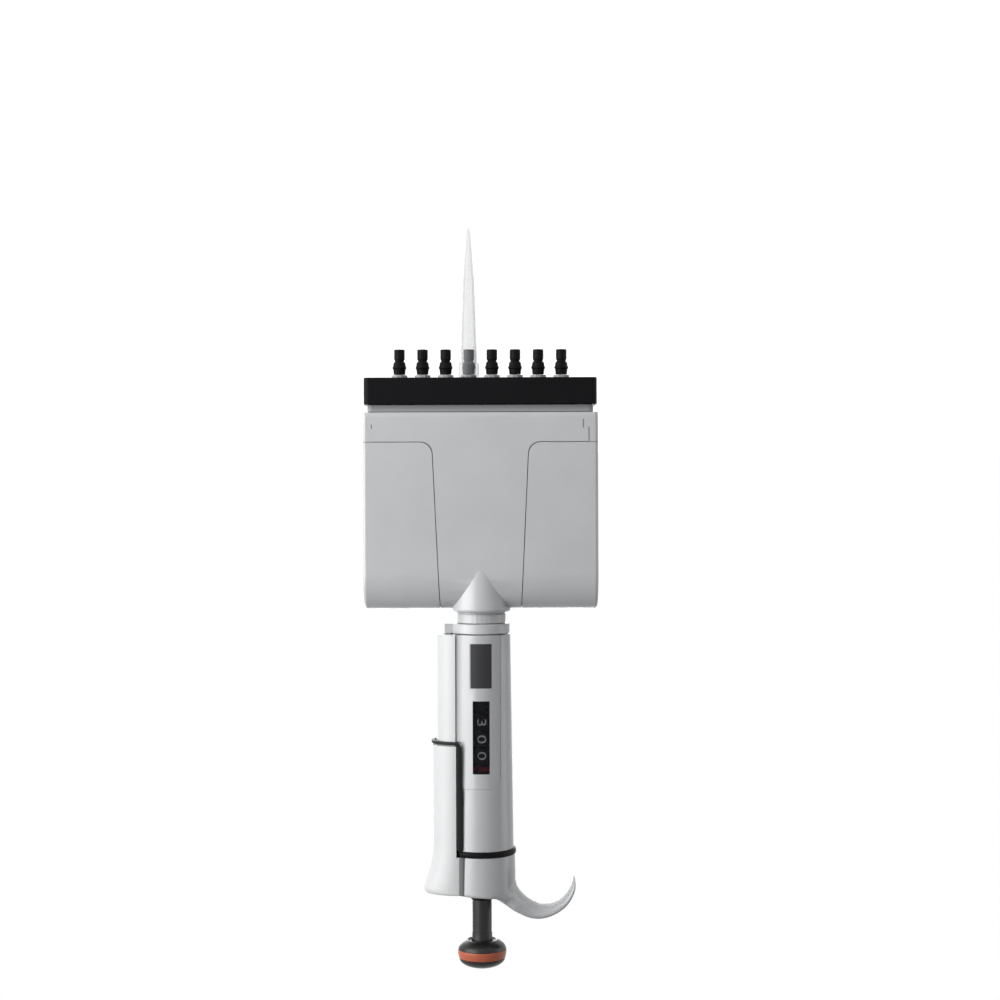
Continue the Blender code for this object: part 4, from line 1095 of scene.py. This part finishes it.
def floor():
    """A wide pale floor that glows white to the eye and keeps the object's shadow."""
    mesh = bpy.data.meshes.new("floor")
    corners = [(x * FLOOR_HALF, y * FLOOR_HALF, FLOOR_Z) for x, y in ((-1, -1), (1, -1), (1, 1), (-1, 1))]
    mesh.from_pydata(corners, [], [(0, 1, 2, 3)])
    made = bpy.data.objects.new("floor", mesh)
    bpy.context.scene.collection.objects.link(made)
    look = bpy.data.materials.new("pale_floor")
    look.use_nodes = True
    tree = look.node_tree
    shader = tree.nodes["Principled BSDF"]
    shader.inputs["Base Color"].default_value = (0.86, 0.86, 0.86, 1.0)
    shader.inputs["Roughness"].default_value = 0.8
    glow = tree.nodes.new("ShaderNodeEmission")
    tree.links.new(rising_glow(tree), glow.inputs["Strength"])
    nothing = tree.nodes.new("ShaderNodeEmission")
    nothing.inputs["Strength"].default_value = 0.0
    chosen = tree.nodes.new("ShaderNodeMixShader")
    tree.links.new(seen_directly(tree), chosen.inputs["Fac"])
    tree.links.new(nothing.outputs["Emission"], chosen.inputs[1])
    tree.links.new(glow.outputs["Emission"], chosen.inputs[2])
    total = tree.nodes.new("ShaderNodeAddShader")
    tree.links.new(shader.outputs["BSDF"], total.inputs[0])
    tree.links.new(chosen.outputs["Shader"], total.inputs[1])
    tree.links.new(total.outputs["Shader"], tree.nodes["Material Output"].inputs["Surface"])
    mesh.materials.append(look)


def rising_glow(tree):
    """The floor's own white: part of it near the object, where the shadow lies, all of it far away."""
    coords = tree.nodes.new("ShaderNodeTexCoord").outputs["Object"]
    flat = tree.nodes.new("ShaderNodeVectorMath")
    flat.operation = 'MULTIPLY'
    flat.inputs[1].default_value = (1.0, 1.0, 0.0)
    tree.links.new(coords, flat.inputs[0])
    away = tree.nodes.new("ShaderNodeVectorMath")
    away.operation = 'LENGTH'
    tree.links.new(flat.outputs["Vector"], away.inputs[0])
    rise = tree.nodes.new("ShaderNodeMapRange")
    rise.interpolation_type = 'SMOOTHSTEP'
    rise.inputs["From Min"].default_value = 0.2
    rise.inputs["From Max"].default_value = 0.62
    rise.inputs["To Min"].default_value = 0.45
    rise.inputs["To Max"].default_value = 1.0
    tree.links.new(away.outputs["Value"], rise.inputs["Value"])
    return rise.outputs["Result"]


def seen_directly(tree):
    """1 for camera, glossy and transmitted rays, 0 for the rest."""
    path = tree.nodes.new("ShaderNodeLightPath")
    first = tree.nodes.new("ShaderNodeMath")
    first.operation = 'MAXIMUM'
    tree.links.new(path.outputs["Is Camera Ray"], first.inputs[0])
    tree.links.new(path.outputs["Is Glossy Ray"], first.inputs[1])
    second = tree.nodes.new("ShaderNodeMath")
    second.operation = 'MAXIMUM'
    tree.links.new(first.outputs[0], second.inputs[0])
    tree.links.new(path.outputs["Is Transmission Ray"], second.inputs[1])
    return second.outputs[0]


def world(ambient):
    """Even white light at the given level, and full white where the world is seen directly."""
    made = bpy.data.worlds.new("studio")
    bpy.context.scene.world = made
    made.use_nodes = True
    tree = made.node_tree
    soft = tree.nodes["Background"]
    soft.inputs["Color"].default_value = (1.0, 1.0, 1.0, 1.0)
    soft.inputs["Strength"].default_value = ambient
    white = tree.nodes.new("ShaderNodeBackground")
    white.inputs["Color"].default_value = (1.0, 1.0, 1.0, 1.0)
    white.inputs["Strength"].default_value = 1.0
    chosen = tree.nodes.new("ShaderNodeMixShader")
    tree.links.new(seen_directly(tree), chosen.inputs["Fac"])
    tree.links.new(soft.outputs["Background"], chosen.inputs[1])
    tree.links.new(white.outputs["Background"], chosen.inputs[2])
    tree.links.new(chosen.outputs["Shader"], tree.nodes["World Output"].inputs["Surface"])


def softbox(name, place, target, width, height, power):
    """A rectangular lamp turned towards the target."""
    light = bpy.data.lights.new(name, 'AREA')
    light.shape = 'RECTANGLE'
    light.size = width
    light.size_y = height
    light.energy = power
    made = bpy.data.objects.new(name, light)
    bpy.context.scene.collection.objects.link(made)
    made.location = place
    made.rotation_euler = (Vector(target) - Vector(place)).to_track_quat('-Z', 'Y').to_euler()


floor()
world(AMBIENT)
softbox("key", (0.49, -0.31, 0.07), CENTRE, 0.62, 0.62, 5.6)
softbox("side_fill", (-0.66, 0.05, 0.10), CENTRE, 0.3, 0.7, 1.1)
softbox("back_fill", (0.12, 0.78, 0.16), CENTRE, 0.5, 0.7, 4.6)

camera = bpy.data.cameras.new("camera")
camera.sensor_width = 36.0
camera.lens = CAMERA_LENS
camera.clip_start = 0.01
view = bpy.data.objects.new("camera", camera)
bpy.context.scene.collection.objects.link(view)
view.matrix_world = (Matrix.Translation(CAMERA_PLACE) @ Matrix.Rotation(math.radians(90.0), 4, 'X')
                     @ Matrix.Rotation(CAMERA_ROLL, 4, 'Z'))
bpy.context.scene.camera = view
bpy.context.scene.view_settings.view_transform = 'Standard'
